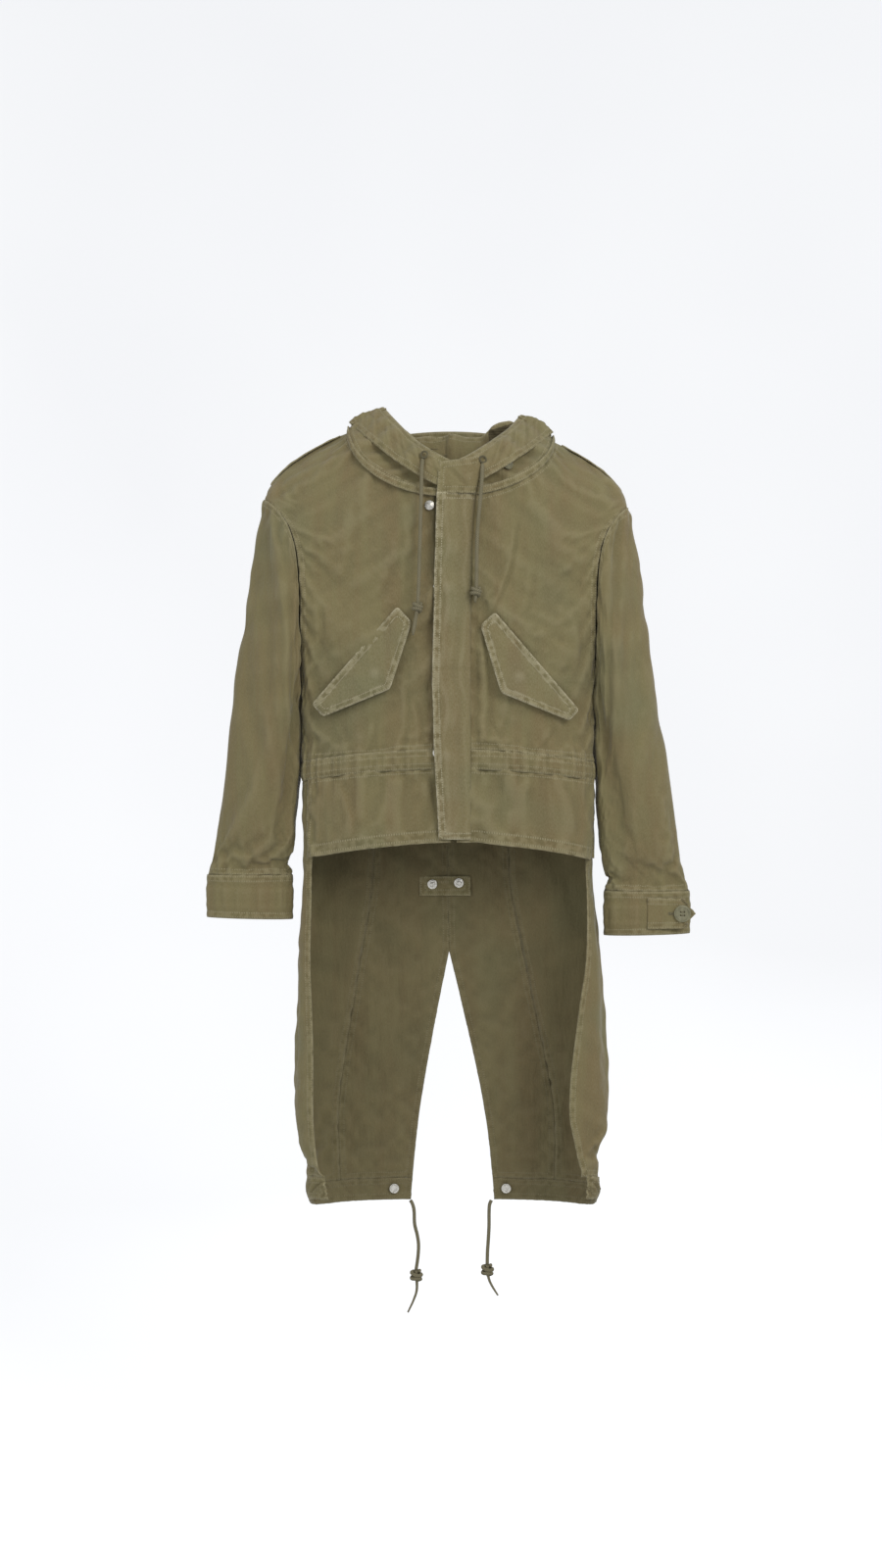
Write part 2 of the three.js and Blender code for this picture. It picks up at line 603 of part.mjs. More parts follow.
function bagPoint(turn, drop, outer) {
  const skin = outer ? 0 : wall;
  const wide = Math.max(0, (bagHalfWidth - 14 * drop) * Math.sqrt(Math.max(0, 1 - drop ** 3)) - skin);
  const deep = Math.max(0, bagDepth * Math.sqrt(Math.max(0, 1 - drop ** 4)) - skin);
  const closed = drop > 0.999 ? 0 : 1;
  const middle = backDepth - wall + bagDepth + 13 * smooth(drop * 3);
  const length = outer ? bagLength : bagLength - wall;
  const x = bagMiddleX + closed * wide * Math.sin(turn);
  return [x, middle + closed * deep * Math.cos(turn), bagTop - length * drop];
}

// Eyelets and a snap on the hood's face edge and side, and a webbing strap behind the wearer's left brim.
function hoodFittings() {
  for (const [name, [along, up]] of Object.entries({ right: [0.3, 0.5], left: [0.31, 0.35] })) {
    const spot = brimPoint(name, along, up, layGap);
    const outward = brimPoint(name, along, up, 1 + layGap).sub(spot);
    turned(`hood_eyelet_${name}`, [[2.6, 0], [6, 0], [6, 1], [4.6, 1.8], [2.6, 1.8], [2.6, 0]],
      spot.toArray(), outward.toArray(), 'cotton', 12);
  }
  const snap = brimPoint('left', 0.5, 0.1, layGap + 1.5);
  const outward = brimPoint('left', 0.5, 0.1, layGap + 2.5).sub(snap);
  turned('hood_snap', [[0, 0], [8.5, 0], [8.5, 1.4], [7, 2.4], [0, 2.4]], snap.toArray(),
    outward.toArray(), 'cotton');
  const { fromX, toX, fromZ, toZ, y, thick } = hoodStrap;
  const strap = (u, v, w) => [lerp(fromX, toX, u), y + w + 6 * u, lerp(fromZ, toZ, v) - 6 * u];
  add('hood_strap', sheet(strap, 3, 2, 0, thick), 'webbing');
}

// ---- tail fastenings ----------------------------------------------------------------------------------
// A spot on the tail's inner face, by distance from the centre, standing w inside the cloth.
function tailInside(x, z, w) {
  const side = x < 0 ? right : left;
  const away = Math.abs(x - lean(z));
  return lower(side, 180 - degreesAt(away, z), z, -wall - w);
}

function tailFastenings() {
  const patch = (u, v, w) => tailInside(lerp(tab.fromX, tab.toX, u), lerp(tab.bottomZ, tab.topZ, v), w);
  add('tail_tab', sheet(patch, 3, 1, layGap, layGap + tab.thick), 'cotton');
  for (const [name, [x, z]] of Object.entries(tabStuds)) {
    turned(`tail_stud_${name}`, [[0, 0], [studRadius, 0], [studRadius, 1.2], [4.2, 1.8], [4, 4.2], [0, 4.2]],
      tailInside(x, z, layGap + tab.thick + seamGap), [0, -1, 0], 'metal');
  }
  for (const [name, [x, z]] of Object.entries(socketSpots)) {
    const foot = tailInside(x, z, 2 * layGap);
    const face = new THREE.Vector3(...tailInside(x, z, 2 * layGap + 1)).sub(new THREE.Vector3(...foot));
    turned(`tail_socket_${name}`, [[2.6, 0], [studRadius, 0], [studRadius, 1.4], [5, 2.6], [2.6, 2.6], [2.6, 0]],
      foot, face.toArray(), 'metal');
  }
}

// ---- cords --------------------------------------------------------------------------------------------
const hung = (place, [x, y, z]) => {
  const [fromX, fromY, fromZ] = hangFrom[place];
  return new THREE.Vector3(fromX + x, fromY + y, fromZ + z);
};

function hangCords() {
  const section = new THREE.Shape();
  const corners = 8;
  for (let i = 0; i < corners; i += 1) {
    const turn = (i * 2 * Math.PI) / corners;
    const go = i === 0 ? 'moveTo' : 'lineTo';
    section[go](cordRadius * Math.cos(turn), cordRadius * Math.sin(turn));
  }
  for (const [name, points] of Object.entries(cords)) {
    const path = new THREE.CatmullRomCurve3(points.map((p) => hung(name.slice(0, 4), p)));
    const steps = Math.round(path.getLength() / (5 * cordRadius));
    const tube = new THREE.ExtrudeGeometry(section, { steps, extrudePath: path, bevelEnabled: false });
    add(name, bend(tube, (x, y, z) => [x, y, z]), 'cord');
  }
  for (const [name, { top, end }] of Object.entries(knots)) {
    const start = hung('tail', top);
    const down = hung('tail', end).sub(start);
    const length = down.length();
    turned(`tail_knot_${name}`, [[0, 0], [4, 0.6], [8, 6], [7.6, 15], [4, 22], [2.2, 24], [1.8, length - 10],
      [1, length], [0, length]], start.toArray(), down.toArray(), 'cord', 10);
  }
}

frontPanel('front_right', right);
frontPanel('front_left', left);
backPanel();
waistCasings();
skirts();
tailPanels();
sleeves();
cuffTab('left', left, -1, 282, 350);
cuffTab('right', right, 1, 345, 285);
shoulderStraps();
frontOpening();
pockets();
hood();
hoodFittings();
tailFastenings();
hangCords();

export default jacket;
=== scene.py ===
import math

import bpy
import numpy as np
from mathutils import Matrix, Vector


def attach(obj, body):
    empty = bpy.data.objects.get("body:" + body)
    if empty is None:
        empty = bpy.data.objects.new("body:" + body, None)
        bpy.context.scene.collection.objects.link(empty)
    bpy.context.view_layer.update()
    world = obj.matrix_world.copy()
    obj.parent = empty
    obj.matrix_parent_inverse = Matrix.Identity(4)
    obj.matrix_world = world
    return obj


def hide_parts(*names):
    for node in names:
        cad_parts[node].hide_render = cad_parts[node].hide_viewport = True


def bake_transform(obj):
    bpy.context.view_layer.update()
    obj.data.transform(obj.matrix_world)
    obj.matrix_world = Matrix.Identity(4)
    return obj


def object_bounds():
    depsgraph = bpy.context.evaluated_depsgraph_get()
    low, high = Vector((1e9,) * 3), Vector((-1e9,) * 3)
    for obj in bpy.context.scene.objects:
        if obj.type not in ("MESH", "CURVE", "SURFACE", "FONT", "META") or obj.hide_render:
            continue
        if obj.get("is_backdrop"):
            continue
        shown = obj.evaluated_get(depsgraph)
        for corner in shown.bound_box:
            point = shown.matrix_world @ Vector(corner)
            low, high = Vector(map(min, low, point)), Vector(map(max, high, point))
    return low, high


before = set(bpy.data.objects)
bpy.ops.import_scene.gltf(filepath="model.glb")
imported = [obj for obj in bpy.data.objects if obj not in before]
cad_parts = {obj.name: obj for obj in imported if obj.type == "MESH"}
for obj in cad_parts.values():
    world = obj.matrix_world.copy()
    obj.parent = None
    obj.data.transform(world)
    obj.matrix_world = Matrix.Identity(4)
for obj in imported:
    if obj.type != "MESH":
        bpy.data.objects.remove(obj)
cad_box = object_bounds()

# A hooded olive over-jacket: cropped front, long split tail, hanging from its shoulders.
# Lengths are in millimetres until a mesh is made. +Z is up, the front faces -Y, +X is the wearer's left.
MM = 0.001

# ---- the coat's sizes ---------------------------------------------------------------------------------
FRONT_DEPTH, BACK_DEPTH, BOXINESS = 70.0, 74.0, 3.0
SHOULDER_ROUND, ARMHOLE_SPREAD = 150.0, 0.5
ZIP_X, OPENING_WIDTH = 8.0, 8.0
WAIST_Z, WAIST_SAG, CASING_HEIGHT = -442.0, 16.0, 28.0
HEM_Z, HEM_SAG = -571.0, 25.0
TAIL_TOP_Z, SPLIT_Z, TAIL_CASING_Z, TAIL_Z = -471.0, -734.0, -1070.0, -1102.0
NECK_FRONT_Z, NECK_BACK_Z, BAND_HEIGHT = -90.0, -8.0, 9.0
CUFF_HEIGHT, CUFF_HALF_WIDTH, CUFF_HALF_DEPTH = 62.0, 60.0, 22.0
CLOTH = 1.5                     # two layers of cotton, pressed
CORD_DIAMETER = 5.2

RIGHT = dict(name="right", sign=-1, neckX=140.0, neckZ=12.0, tipX=260.0, tipZ=-88.0, armX=208.0, armZ=-318.0,
             bulge=8.0, cuffX=283.0, cuffZ=-619.0)
LEFT = dict(name="left", sign=1, neckX=148.0, neckZ=-1.0, tipX=255.0, tipZ=-99.0, armX=208.0, armZ=-315.0,
            bulge=5.0, cuffX=284.0, cuffZ=-642.0)
SIDES = (RIGHT, LEFT)


# ---- shader maths -------------------------------------------------------------------------------------
class Value:
    """A shader socket. Arithmetic on it adds Math nodes to its material."""

    def __init__(self, finish, socket):
        self.finish = finish
        self.socket = socket

    def _math(self, operation, *values, clamp=False):
        return self.finish.node("ShaderNodeMath", {"operation": operation, "use_clamp": clamp}, values)

    def __add__(self, other):
        return self._math("ADD", self, other)

    def __sub__(self, other):
        return self._math("SUBTRACT", self, other)

    def __rsub__(self, other):
        return self._math("SUBTRACT", other, self)

    def __mul__(self, other):
        return self._math("MULTIPLY", self, other)

    __radd__ = __add__
    __rmul__ = __mul__

    def __truediv__(self, other):
        return self._math("DIVIDE", self, other)

    def clipped(self):
        return self._math("ADD", self, 0.0, clamp=True)

    def frac(self):
        return self._math("FRACT", self)

    def absolute(self):
        return self._math("ABSOLUTE", self)

    def sine(self):
        return self._math("SINE", self)

    def maximum(self, other):
        return self._math("MAXIMUM", self, other)

    def below(self, limit, soft):
        """1 where the value is under the limit, fading to 0 over a soft stretch."""
        return ((limit - self) / soft + 0.5).clipped()


class Finish:
    """A material under construction."""

    def __init__(self, name):
        self.material = bpy.data.materials.new(name)
        self.material.use_nodes = True
        self.tree = self.material.node_tree
        self.tree.nodes.clear()

    def node(self, kind, settings=None, values=(), out=0):
        made = self.tree.nodes.new(kind)
        for key, value in (settings or {}).items():
            setattr(made, key, value)
        pairs = values.items() if isinstance(values, dict) else enumerate(values)
        for key, value in pairs:
            if isinstance(value, Value):
                self.tree.links.new(value.socket, made.inputs[key])
            else:
                made.inputs[key].default_value = value
        return Value(self, made.outputs[out] if made.outputs else None)

    def ramp(self, factor, low, high):
        """0 below low, 1 above high, straight between them."""
        return self.node("ShaderNodeMapRange", {}, {0: factor, 1: low, 2: high, 3: 0.0, 4: 1.0})

    def mix(self, factor, first, second):
        settings = {"data_type": "RGBA"}
        return self.node("ShaderNodeMix", settings, {0: factor, 6: first, 7: second}, out=2)

    def stretched(self, vector, scale):
        return self.node("ShaderNodeVectorMath", {"operation": "MULTIPLY"}, {0: vector, 1: scale})

    def noise(self, vector, scale, detail=3.0, rough=0.55):
        return self.node("ShaderNodeTexNoise", {}, {"Vector": vector, "Scale": scale, "Detail": detail,
                                                     "Roughness": rough})

    def attribute(self, name):
        return self.node("ShaderNodeAttribute", {"attribute_name": name}, out=2)

    def bump(self, height, distance, strength=1.0, normal=None):
        values = {"Height": height, "Distance": distance, "Strength": strength}
        if normal is not None:
            values["Normal"] = normal
        return self.node("ShaderNodeBump", {}, values)

    def surface(self, color, roughness, normal=None, **constants):
        values = {"Base Color": color, "Roughness": roughness, **constants}
        if normal is not None:
            values["Normal"] = normal
        shader = self.node("ShaderNodeBsdfPrincipled", {}, values)
        self.node("ShaderNodeOutputMaterial", {}, {0: shader})
        return self.material


def srgb(code):
    """A colour written as six hexadecimal digits, as the linear colour that a socket takes."""
    parts = [int(code[i:i + 2], 16) / 255 for i in (0, 2, 4)]
    return [p / 12.92 if p < 0.04045 else ((p + 0.055) / 1.055) ** 2.4 for p in parts] + [1.0]


def uv_parts(finish, layer):
    uv = finish.node("ShaderNodeUVMap", {"uv_map": layer})
    across = finish.node("ShaderNodeSeparateXYZ", {}, [uv], out=0)
    along = finish.node("ShaderNodeSeparateXYZ", {}, [uv], out=1)
    return uv, across, along


STITCH_ROWS, STITCH_LENGTH = (0.0025, 0.0085), 0.0034      # metres in from a seam's edge, and along it
WARP_PITCH, WEFT_PITCH = 0.0009, 0.0011


def cotton(name, main, brown, grey, pale, wear=1.0):
    """Washed cotton sateen: a fine weave, faded streaks down it, seams rubbed pale, and painted shade in fold valleys,
    seam hollows and stitch rows.
    """
    f = Finish(name)
    uv, across, along = uv_parts(f, "cloth")
    _, off_seam, on_seam = uv_parts(f, "seam")
    place = f.node("ShaderNodeTexCoord", out=3)
    streak = f.noise(f.stretched(place, (34.0, 34.0, 2.6)), 1.0, 3.0, 0.6)
    patch = f.noise(place, 9.0, 2.0, 0.5)
    fleck = f.noise(f.stretched(uv, (900.0, 260.0, 1.0)), 1.0, 2.0, 0.7)
    crumple = f.noise(place, 46.0, 4.0, 0.6)
    crease = f.noise(f.stretched(place, (58.0, 58.0, 13.0)), 1.0, 3.0, 0.6)
    color = f.mix(f.ramp(streak, 0.40, 0.66) * 0.7, main, brown)
    color = f.mix(f.ramp(patch, 0.48, 0.70) * 0.45, color, grey)
    # The ridge attribute: fold crests are rubbed pale with wear, and fold valleys are darkened as painted shade.
    ridge = f.attribute("ridge")
    color = f.mix((f.ramp(ridge, 0.55, 1.0) * 0.13 * wear).clipped(), color, pale)
    # deep: the cloth's colour darkened. It is the painted shade used in fold valleys, seam hollows and stitch rows.
    deep = [c * 0.62 for c in main[:3]] + [1.0]
    color = f.mix((f.ramp(ridge, 0.45, 0.0) * 0.25).clipped(), color, deep)
    color = f.mix((f.ramp(fleck, 0.35, 0.75) * 0.24).clipped(), color, pale)
    # Seams: two rows of stitches 2.5 and 8.5 mm from the edge, roped cloth between, the edge rubbed. The roping's
    # crests are rubbed pale, and its hollows get painted shade.
    rub = f.noise(place, 150.0, 3.0, 0.65)
    rope = f.noise(f.stretched(place, (120.0, 120.0, 120.0)), 1.0, 1.0, 0.5)
    edge = off_seam.below(0.0016, 0.0012) * f.ramp(rub, 0.36, 0.58)
    band = off_seam.below(0.0105, 0.002)
    roping = band * f.ramp(rope, 0.44, 0.62)
    shade = band * f.ramp(rope, 0.50, 0.36)
    color = f.mix((roping * (0.2 * wear)).clipped(), color, pale)
    # Painted shade in the hollows of the roped seam.
    color = f.mix((shade * 0.3).clipped(), color, deep)
    color = f.mix((edge * (0.6 * wear)).clipped(), color, pale)
    dash = (on_seam * (1 / STITCH_LENGTH)).frac().below(0.64, 0.12)
    first, second = ((off_seam - row).absolute().below(0.0007, 0.0004) for row in STITCH_ROWS)
    rows = first.maximum(second)
    stitch = rows * dash
    # Painted shade along the stitch rows, in the grooves they pull into the cloth. The stitches themselves are pale
    # thread.
    color = f.mix((rows * 0.5).clipped(), color, deep)
    color = f.mix((stitch * 0.6).clipped(), color, pale)
    # Weave, and small creases left by washing.
    warp = (across * (2 * math.pi / WARP_PITCH)).sine()
    weft = (along * (2 * math.pi / WEFT_PITCH)).sine()
    normal = f.bump(warp * weft * 0.5 + fleck, 0.00012, 0.5)
    normal = f.bump(crumple, 0.0024, 0.6, normal)
    normal = f.bump(crease, 0.0060, 0.6, normal)
    groove = rows * 0.6 - stitch
    normal = f.bump(groove + roping * 0.8, 0.0007, -0.8, normal)
    roughness = f.ramp(crumple, 0.0, 1.0) * 0.1 + 0.83
    return f.surface(color, roughness, normal, **{"Sheen Weight": 0.18, "Sheen Roughness": 0.45,
                                                  "Specular IOR Level": 0.25})


def cord_finish():
    f = Finish("braided_cord")
    uv, around, along = uv_parts(f, "cloth")
    left = ((along * 420.0) + around * 250.0).frac()
    right = ((along * 420.0) - around * 250.0).frac()
    braid = (left - 0.5).absolute().maximum((right - 0.5).absolute())
    place = f.node("ShaderNodeTexCoord", out=3)
    grime = f.noise(place, 60.0, 3.0, 0.6)
    # Painted shade: the grooves between braid strands are darker and the strands lighter, following the braid height
    # the bump uses.
    color = f.mix(f.ramp(braid, 0.30, 0.5), srgb("857e66"), srgb("5e5946"))
    color = f.mix((f.ramp(grime, 0.45, 0.7) * 0.5).clipped(), color, srgb("6d6850"))
    normal = f.bump(braid, 0.0006, -0.7)
    return f.surface(color, 0.9, normal, **{"Specular IOR Level": 0.2})


def metal_finish():
    f = Finish("worn_nickel")
    place = f.node("ShaderNodeTexCoord", out=3)
    worn = f.noise(place, 420.0, 3.0, 0.6)
    color = f.mix(f.ramp(worn, 0.45, 0.7), srgb("bdbbb4"), srgb("8f8b80"))
    roughness = f.ramp(worn, 0.3, 0.8) * 0.25 + 0.18
    return f.surface(color, roughness, f.bump(worn, 0.0002, 0.3), **{"Metallic": 1.0})


def button_finish():
    f = Finish("olive_button")
    place = f.node("ShaderNodeTexCoord", out=3)
    cloud = f.noise(f.stretched(place, (180.0, 180.0, 60.0)), 1.0, 3.0, 0.6)
    color = f.mix(f.ramp(cloud, 0.35, 0.7), srgb("68654a"), srgb("858164"))
    roughness = f.ramp(cloud, 0.2, 0.8) * 0.2 + 0.33
    return f.surface(color, roughness, f.bump(cloud, 0.0002, 0.3), **{"Coat Weight": 0.15})


def webbing_finish():
    f = Finish("ribbed_webbing")
    uv, across, along = uv_parts(f, "cloth")
    rib = (along * (2 * math.pi / 0.0022)).sine()
    fibre = f.noise(f.stretched(uv, (1500.0, 500.0, 1.0)), 1.0, 2.0, 0.6)
    # Painted light and shade: rib crests are lighter and the troughs between ribs darker, following the rib height the
    # bump uses.
    color = f.mix(f.ramp(rib, -0.4, 0.8), srgb("544c38"), srgb("6c6248"))
    color = f.mix((f.ramp(fibre, 0.4, 0.7) * 0.4).clipped(), color, srgb("746b52"))
    return f.surface(color, 0.88, f.bump(rib + fibre, 0.0005, 0.7), **{"Specular IOR Level": 0.25})


def stage_finish():
    f = Finish("paper_sweep")
    place = f.node("ShaderNodeTexCoord", out=3)
    tone = f.noise(place, 0.7, 2.0, 0.5)
    color = f.mix(f.ramp(tone, 0.3, 0.7), srgb("f3f3f4"), srgb("eeeef0"))
    return f.surface(color, 0.9, None, **{"Emission Color": srgb("f4f5f7"), "Emission Strength": 0.40,
                                          "Specular IOR Level": 0.0})


OUTSIDE = cotton("olive_cotton", srgb("7a714d"), srgb("766545"), srgb("6c6e50"), srgb("a59c7c"))
FLAPS = cotton("olive_cotton_rubbed", srgb("7a714d"), srgb("766545"), srgb("6c6e50"), srgb("b5ad90"), 1.6)
INSIDE = cotton("olive_cotton_inside", srgb("736a4a"), srgb("6b5d40"), srgb("5f5d41"), srgb("8b8264"), 0.8)
CORD = cord_finish()
METAL = metal_finish()
BUTTON = button_finish()
WEBBING = webbing_finish()


# ---- camera, lights and stage -------------------------------------------------------------------------
CAMERA_SPOT = (-0.010, -2.300, -0.490)
VIEW_HEIGHT = 2.240             # what the frame takes in, top to bottom, at the coat's middle

PAPER_FLOOR_Z, PAPER_REACH, PAPER_BEND, PAPER_TOP = -1.72, 3.9, 1.3, 3.2


def light(name, spot, target, size, power, tint=(1.0, 1.0, 1.0)):
    data = bpy.data.lights.new(name, "AREA")
    data.shape = "RECTANGLE"
    data.size, data.size_y = size
    data.energy = power
    data.color = tint
    lamp = bpy.data.objects.new(name, data)
    bpy.context.scene.collection.objects.link(lamp)
    lamp.location = spot
    lamp.rotation_euler = (Vector(target) - Vector(spot)).to_track_quat("-Z", "Y").to_euler()
    lamp.visible_camera = False


def make_stage():
    scene = bpy.context.scene
    camera = bpy.data.objects.new("camera", bpy.data.cameras.new("camera"))
    scene.collection.objects.link(camera)
    camera.location = CAMERA_SPOT
    camera.rotation_euler = (math.pi / 2, 0, 0)
    camera.data.lens = camera.data.sensor_width * abs(CAMERA_SPOT[1]) / VIEW_HEIGHT
    camera.data.clip_end = 50
    scene.camera = camera
    scene.view_settings.view_transform = "Standard"
    world = bpy.data.worlds.new("studio")
    scene.world = world
    world.use_nodes = True
    world.node_tree.nodes["Background"].inputs[0].default_value = (0.96, 0.98, 1.0, 1)
    world.node_tree.nodes["Background"].inputs[1].default_value = 0.55
    middle = (0, 0, -0.45)
    light("key", (1.7, -2.4, 1.0), middle, (1.5, 1.5), 40, (1.0, 0.98, 0.95))
    light("fill", (-2.2, -2.0, 0.1), middle, (2.0, 2.4), 15)
    light("top", (0.1, -0.6, 1.9), middle, (2.4, 1.2), 5)
    light("behind", (1.2, 2.4, 0.9), middle, (1.8, 1.8), 22)
    round_paper()


def ring_faces(rings, sides):
    """Quads between closed rings of points that follow one another."""
    return [(i * sides + k, i * sides + (k + 1) % sides, (i + 1) * sides + (k + 1) % sides, (i + 1) * sides + k)
            for i in range(rings - 1) for k in range(sides)]


def round_paper():
    """A round paper floor that curves up into a wall on every side."""
    corner = PAPER_REACH - PAPER_BEND
    profile = [(0.02, PAPER_FLOOR_Z), (corner / 2, PAPER_FLOOR_Z), (corner, PAPER_FLOOR_Z)]
    for i in range(1, 13):
        turn = i / 12 * math.pi / 2
        profile.append((corner + PAPER_BEND * math.sin(turn), PAPER_FLOOR_Z + PAPER_BEND * (1 - math.cos(turn))))
    profile.append((PAPER_REACH, PAPER_TOP))
    sides = 64
    points = [(reach * math.cos(2 * math.pi * k / sides), reach * math.sin(2 * math.pi * k / sides), z)
              for reach, z in profile for k in range(sides)]
    faces = ring_faces(len(profile), sides)
    faces.append(tuple(range(sides))[::-1])
    mesh = bpy.data.meshes.new("paper")
    mesh.from_pydata(points, [], faces)
    mesh.shade_smooth()
    mesh.materials.append(stage_finish())
    paper = bpy.data.objects.new("paper", mesh)
    bpy.context.scene.collection.objects.link(paper)
    paper.visible_diffuse = paper.visible_shadow = False
    paper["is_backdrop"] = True


make_stage()


# ---- mesh making --------------------------------------------------------------------------------------
def mesh_object(name, points, faces, material, uvs=None):
    """An object from points in millimetres. uvs maps a layer's name to one pair for each point."""
    mesh = bpy.data.meshes.new(name)
    mesh.from_pydata((np.asarray(points) * MM).tolist(), [], faces)
    for layer, pairs in (uvs or {}).items():
        corners = np.zeros(len(mesh.loops), np.int32)
        mesh.loops.foreach_get("vertex_index", corners)
        mesh.uv_layers.new(name=layer).data.foreach_set("uv", np.asarray(pairs, np.float32)[corners].ravel())
    for each in material if isinstance(material, (list, tuple)) else [material]:
        mesh.materials.append(each)
    mesh.shade_smooth()
    made = bpy.data.objects.new(name, mesh)
    bpy.context.scene.collection.objects.link(made)
    return made


def tube(name, line, radius, material, sides=10):
    """A round tube along a line of points in millimetres, closed at both ends. radius may vary."""
    line = np.asarray(line, float)
    radii = np.broadcast_to(radius, len(line))
    tangents = np.gradient(line, axis=0)
    tangents /= np.linalg.norm(tangents, axis=1)[:, None]
    side = np.cross(tangents[0], (0.3, 1.0, 0.2))
    points, uvs, travelled = [], [], 0.0
    for i, (spot, tangent) in enumerate(zip(line, tangents)):
        side = side - tangent * side.dot(tangent)
        side /= np.linalg.norm(side)
        up = np.cross(tangent, side)
        travelled += np.linalg.norm(spot - line[max(i - 1, 0)]) * MM
        for k in range(sides):
            turn = 2 * math.pi * k / sides
            points.append(spot + radii[i] * (side * math.cos(turn) + up * math.sin(turn)))
            uvs.append((min(k, sides - k) / sides * 2 * math.pi * radii[i] * MM, travelled))
    faces = ring_faces(len(line), sides)
    faces += [tuple(range(sides))[::-1], tuple((len(line) - 1) * sides + k for k in range(sides))]
    return mesh_object(name, points, faces, material, {"cloth": uvs})


def smooth_line(points, step):
    """A Catmull-Rom line through chosen points, one point for each step of length."""
    p = np.asarray(points, float)
    p = np.vstack([2 * p[0] - p[1], p, 2 * p[-1] - p[-2]])
    fine = []
    for i in range(1, len(p) - 2):
        t = np.linspace(0, 1, 24, endpoint=False)[:, None]
        fine.append(0.5 * (2 * p[i] + (p[i + 1] - p[i - 1]) * t
                           + (2 * p[i - 1] - 5 * p[i] + 4 * p[i + 1] - p[i + 2]) * t ** 2
                           + (3 * p[i] - p[i - 1] - 3 * p[i + 1] + p[i + 2]) * t ** 3))
    fine = np.vstack(fine + [p[-2:-1]])
    reach = np.concatenate([[0], np.cumsum(np.linalg.norm(np.diff(fine, axis=0), axis=1))])
    at = np.linspace(0, reach[-1], max(3, int(reach[-1] / step) + 1))
    return np.stack([np.interp(at, reach, fine[:, k]) for k in range(3)], axis=1)


def length_of(line):
    return float(np.linalg.norm(np.diff(line, axis=0), axis=1).sum())


# ---- cords --------------------------------------------------------------------------------------------
# Each route runs from its exit to the free end, or to the knot near the end.
ROUTES = {
    "hood_cord_right": [(-34, -64, -36.5), (-34.8, -69, -38.5), (-35.6, -74.5, -44), (-36.4, -79.5, -56),
                        (-36.9, -81.8, -74), (-37.4, -82.5, -98), (-38.3, -82.5, -130), (-39.3, -82.5, -165),
                        (-40.2, -82.5, -200), (-41.5, -82.5, -232), (-43, -82.5, -250), (-46, -82.5, -268),
                        (-49, -82.5, -285)],
    "hood_cord_left": [(47.5, -65, -43.5), (47.6, -70, -45.5), (47.4, -75.5, -51), (46.8, -80, -62),
                       (45.6, -82, -80), (43.5, -82.5, -104), (41, -82.5, -132), (39.5, -82.5, -160),
                       (39.2, -82.5, -188), (39, -82.5, -210), (38.2, -82.5, -226), (37, -82.5, -240)],
    "tail_cord_right": [(-55, 70, -1103), (-52, 70, -1108), (-49.6, 69, -1118), (-48.8, 68, -1137),
                        (-45, 68, -1153), (-43, 68, -1168), (-44, 68, -1186), (-46.6, 68, -1204)],
    "tail_cord_left": [(64, 70, -1103), (61.5, 70, -1109), (60.7, 69, -1120), (60.6, 68, -1140),
                       (59.6, 68, -1160), (58.4, 68, -1178), (58, 68, -1196)],
}
TAIL_ENDS = {"right": [(-46.6, 68, -1206), (-45.5, 67.4, -1232), (-50, 67.5, -1248), (-58.7, 68, -1267)],
             "left": [(58, 68, -1198), (60, 67.4, -1216), (65, 67.5, -1228), (73.7, 68, -1242)]}


def knot(name, middle, direction, size):
    """A figure of three tight turns of the cord round itself, at a point."""
    down = np.asarray(direction, float) / np.linalg.norm(direction)
    side = np.cross(down, (0.0, 1.0, 0.0))
    side /= np.linalg.norm(side)
    front = np.cross(side, down)
    turns, points = 2.3, []
    for i in range(70):
        t = i / 69
        turn = 2 * math.pi * turns * t
        reach = size * (0.30 + 0.14 * math.sin(math.pi * t))
        slope = 0.28 * math.sin(turn * 1.5)
        points.append(np.asarray(middle) + side * reach * math.cos(turn) + front * reach * 0.8 * math.sin(turn)
                      + down * size * (0.85 * (t - 0.5) + 0.22 * slope))
    return tube(name, points, CORD_DIAMETER * 0.52, CORD, 8)


def make_cords():
    for name, route in ROUTES.items():
        line = smooth_line(route, 3.0)
        hem = "tail" in name
        side = name.rsplit("_", 1)[1]
        body = f"tail_leg_{side}" if hem else "coat"
        radii = np.full(len(line), CORD_DIAMETER / 2)
        if not hem:
            radii[-3:] *= (0.95, 0.8, 0.45)
        piece = tube(f"{name}_braid", line, radii, CORD)
        extras = []
        if hem:
            start = np.asarray(TAIL_ENDS[side][0])
            extras.append(knot(f"{name}_knot", start + (0.3, 0, -7), (0.05, 0, -1), 17.0))
            end = smooth_line(TAIL_ENDS[side], 3.0)
            thin = np.linspace(1.0, 0.5, len(end)) * CORD_DIAMETER / 2
            extras.append(tube(f"{name}_end", end, thin, CORD))
        else:
            reach = len(line) - (14 if side == "right" else 6)
            extras.append(knot(f"{name}_knot", line[reach], line[reach + 1] - line[reach], 13.0))
        for each in [piece, *extras]:
            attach(each, body)
        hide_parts(name)
        if hem:
            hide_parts(f"tail_knot_{side}")


make_cords()


# ---- the coat's surface -------------------------------------------------------------------------------
def smooth(t):
    s = np.clip(t, 0, 1)
    return s * s * (3 - 2 * s)


def squircle(angle):
    s, c = np.sin(angle), np.cos(angle)
    size = (np.abs(s) ** BOXINESS + np.abs(c) ** BOXINESS) ** (1 / BOXINESS)
    return s / size, c / size


def angle_at(share):
    return np.arctan2(share, (1 - np.minimum(np.abs(share), 1) ** BOXINESS) ** (1 / BOXINESS))


def half_width(z):
    return 207 + 14 * smooth((-600 - z) / 160) - 17 * smooth((-930 - z) / 170)


def lean(z):
    return 7 * smooth((-560 - z) / 500)


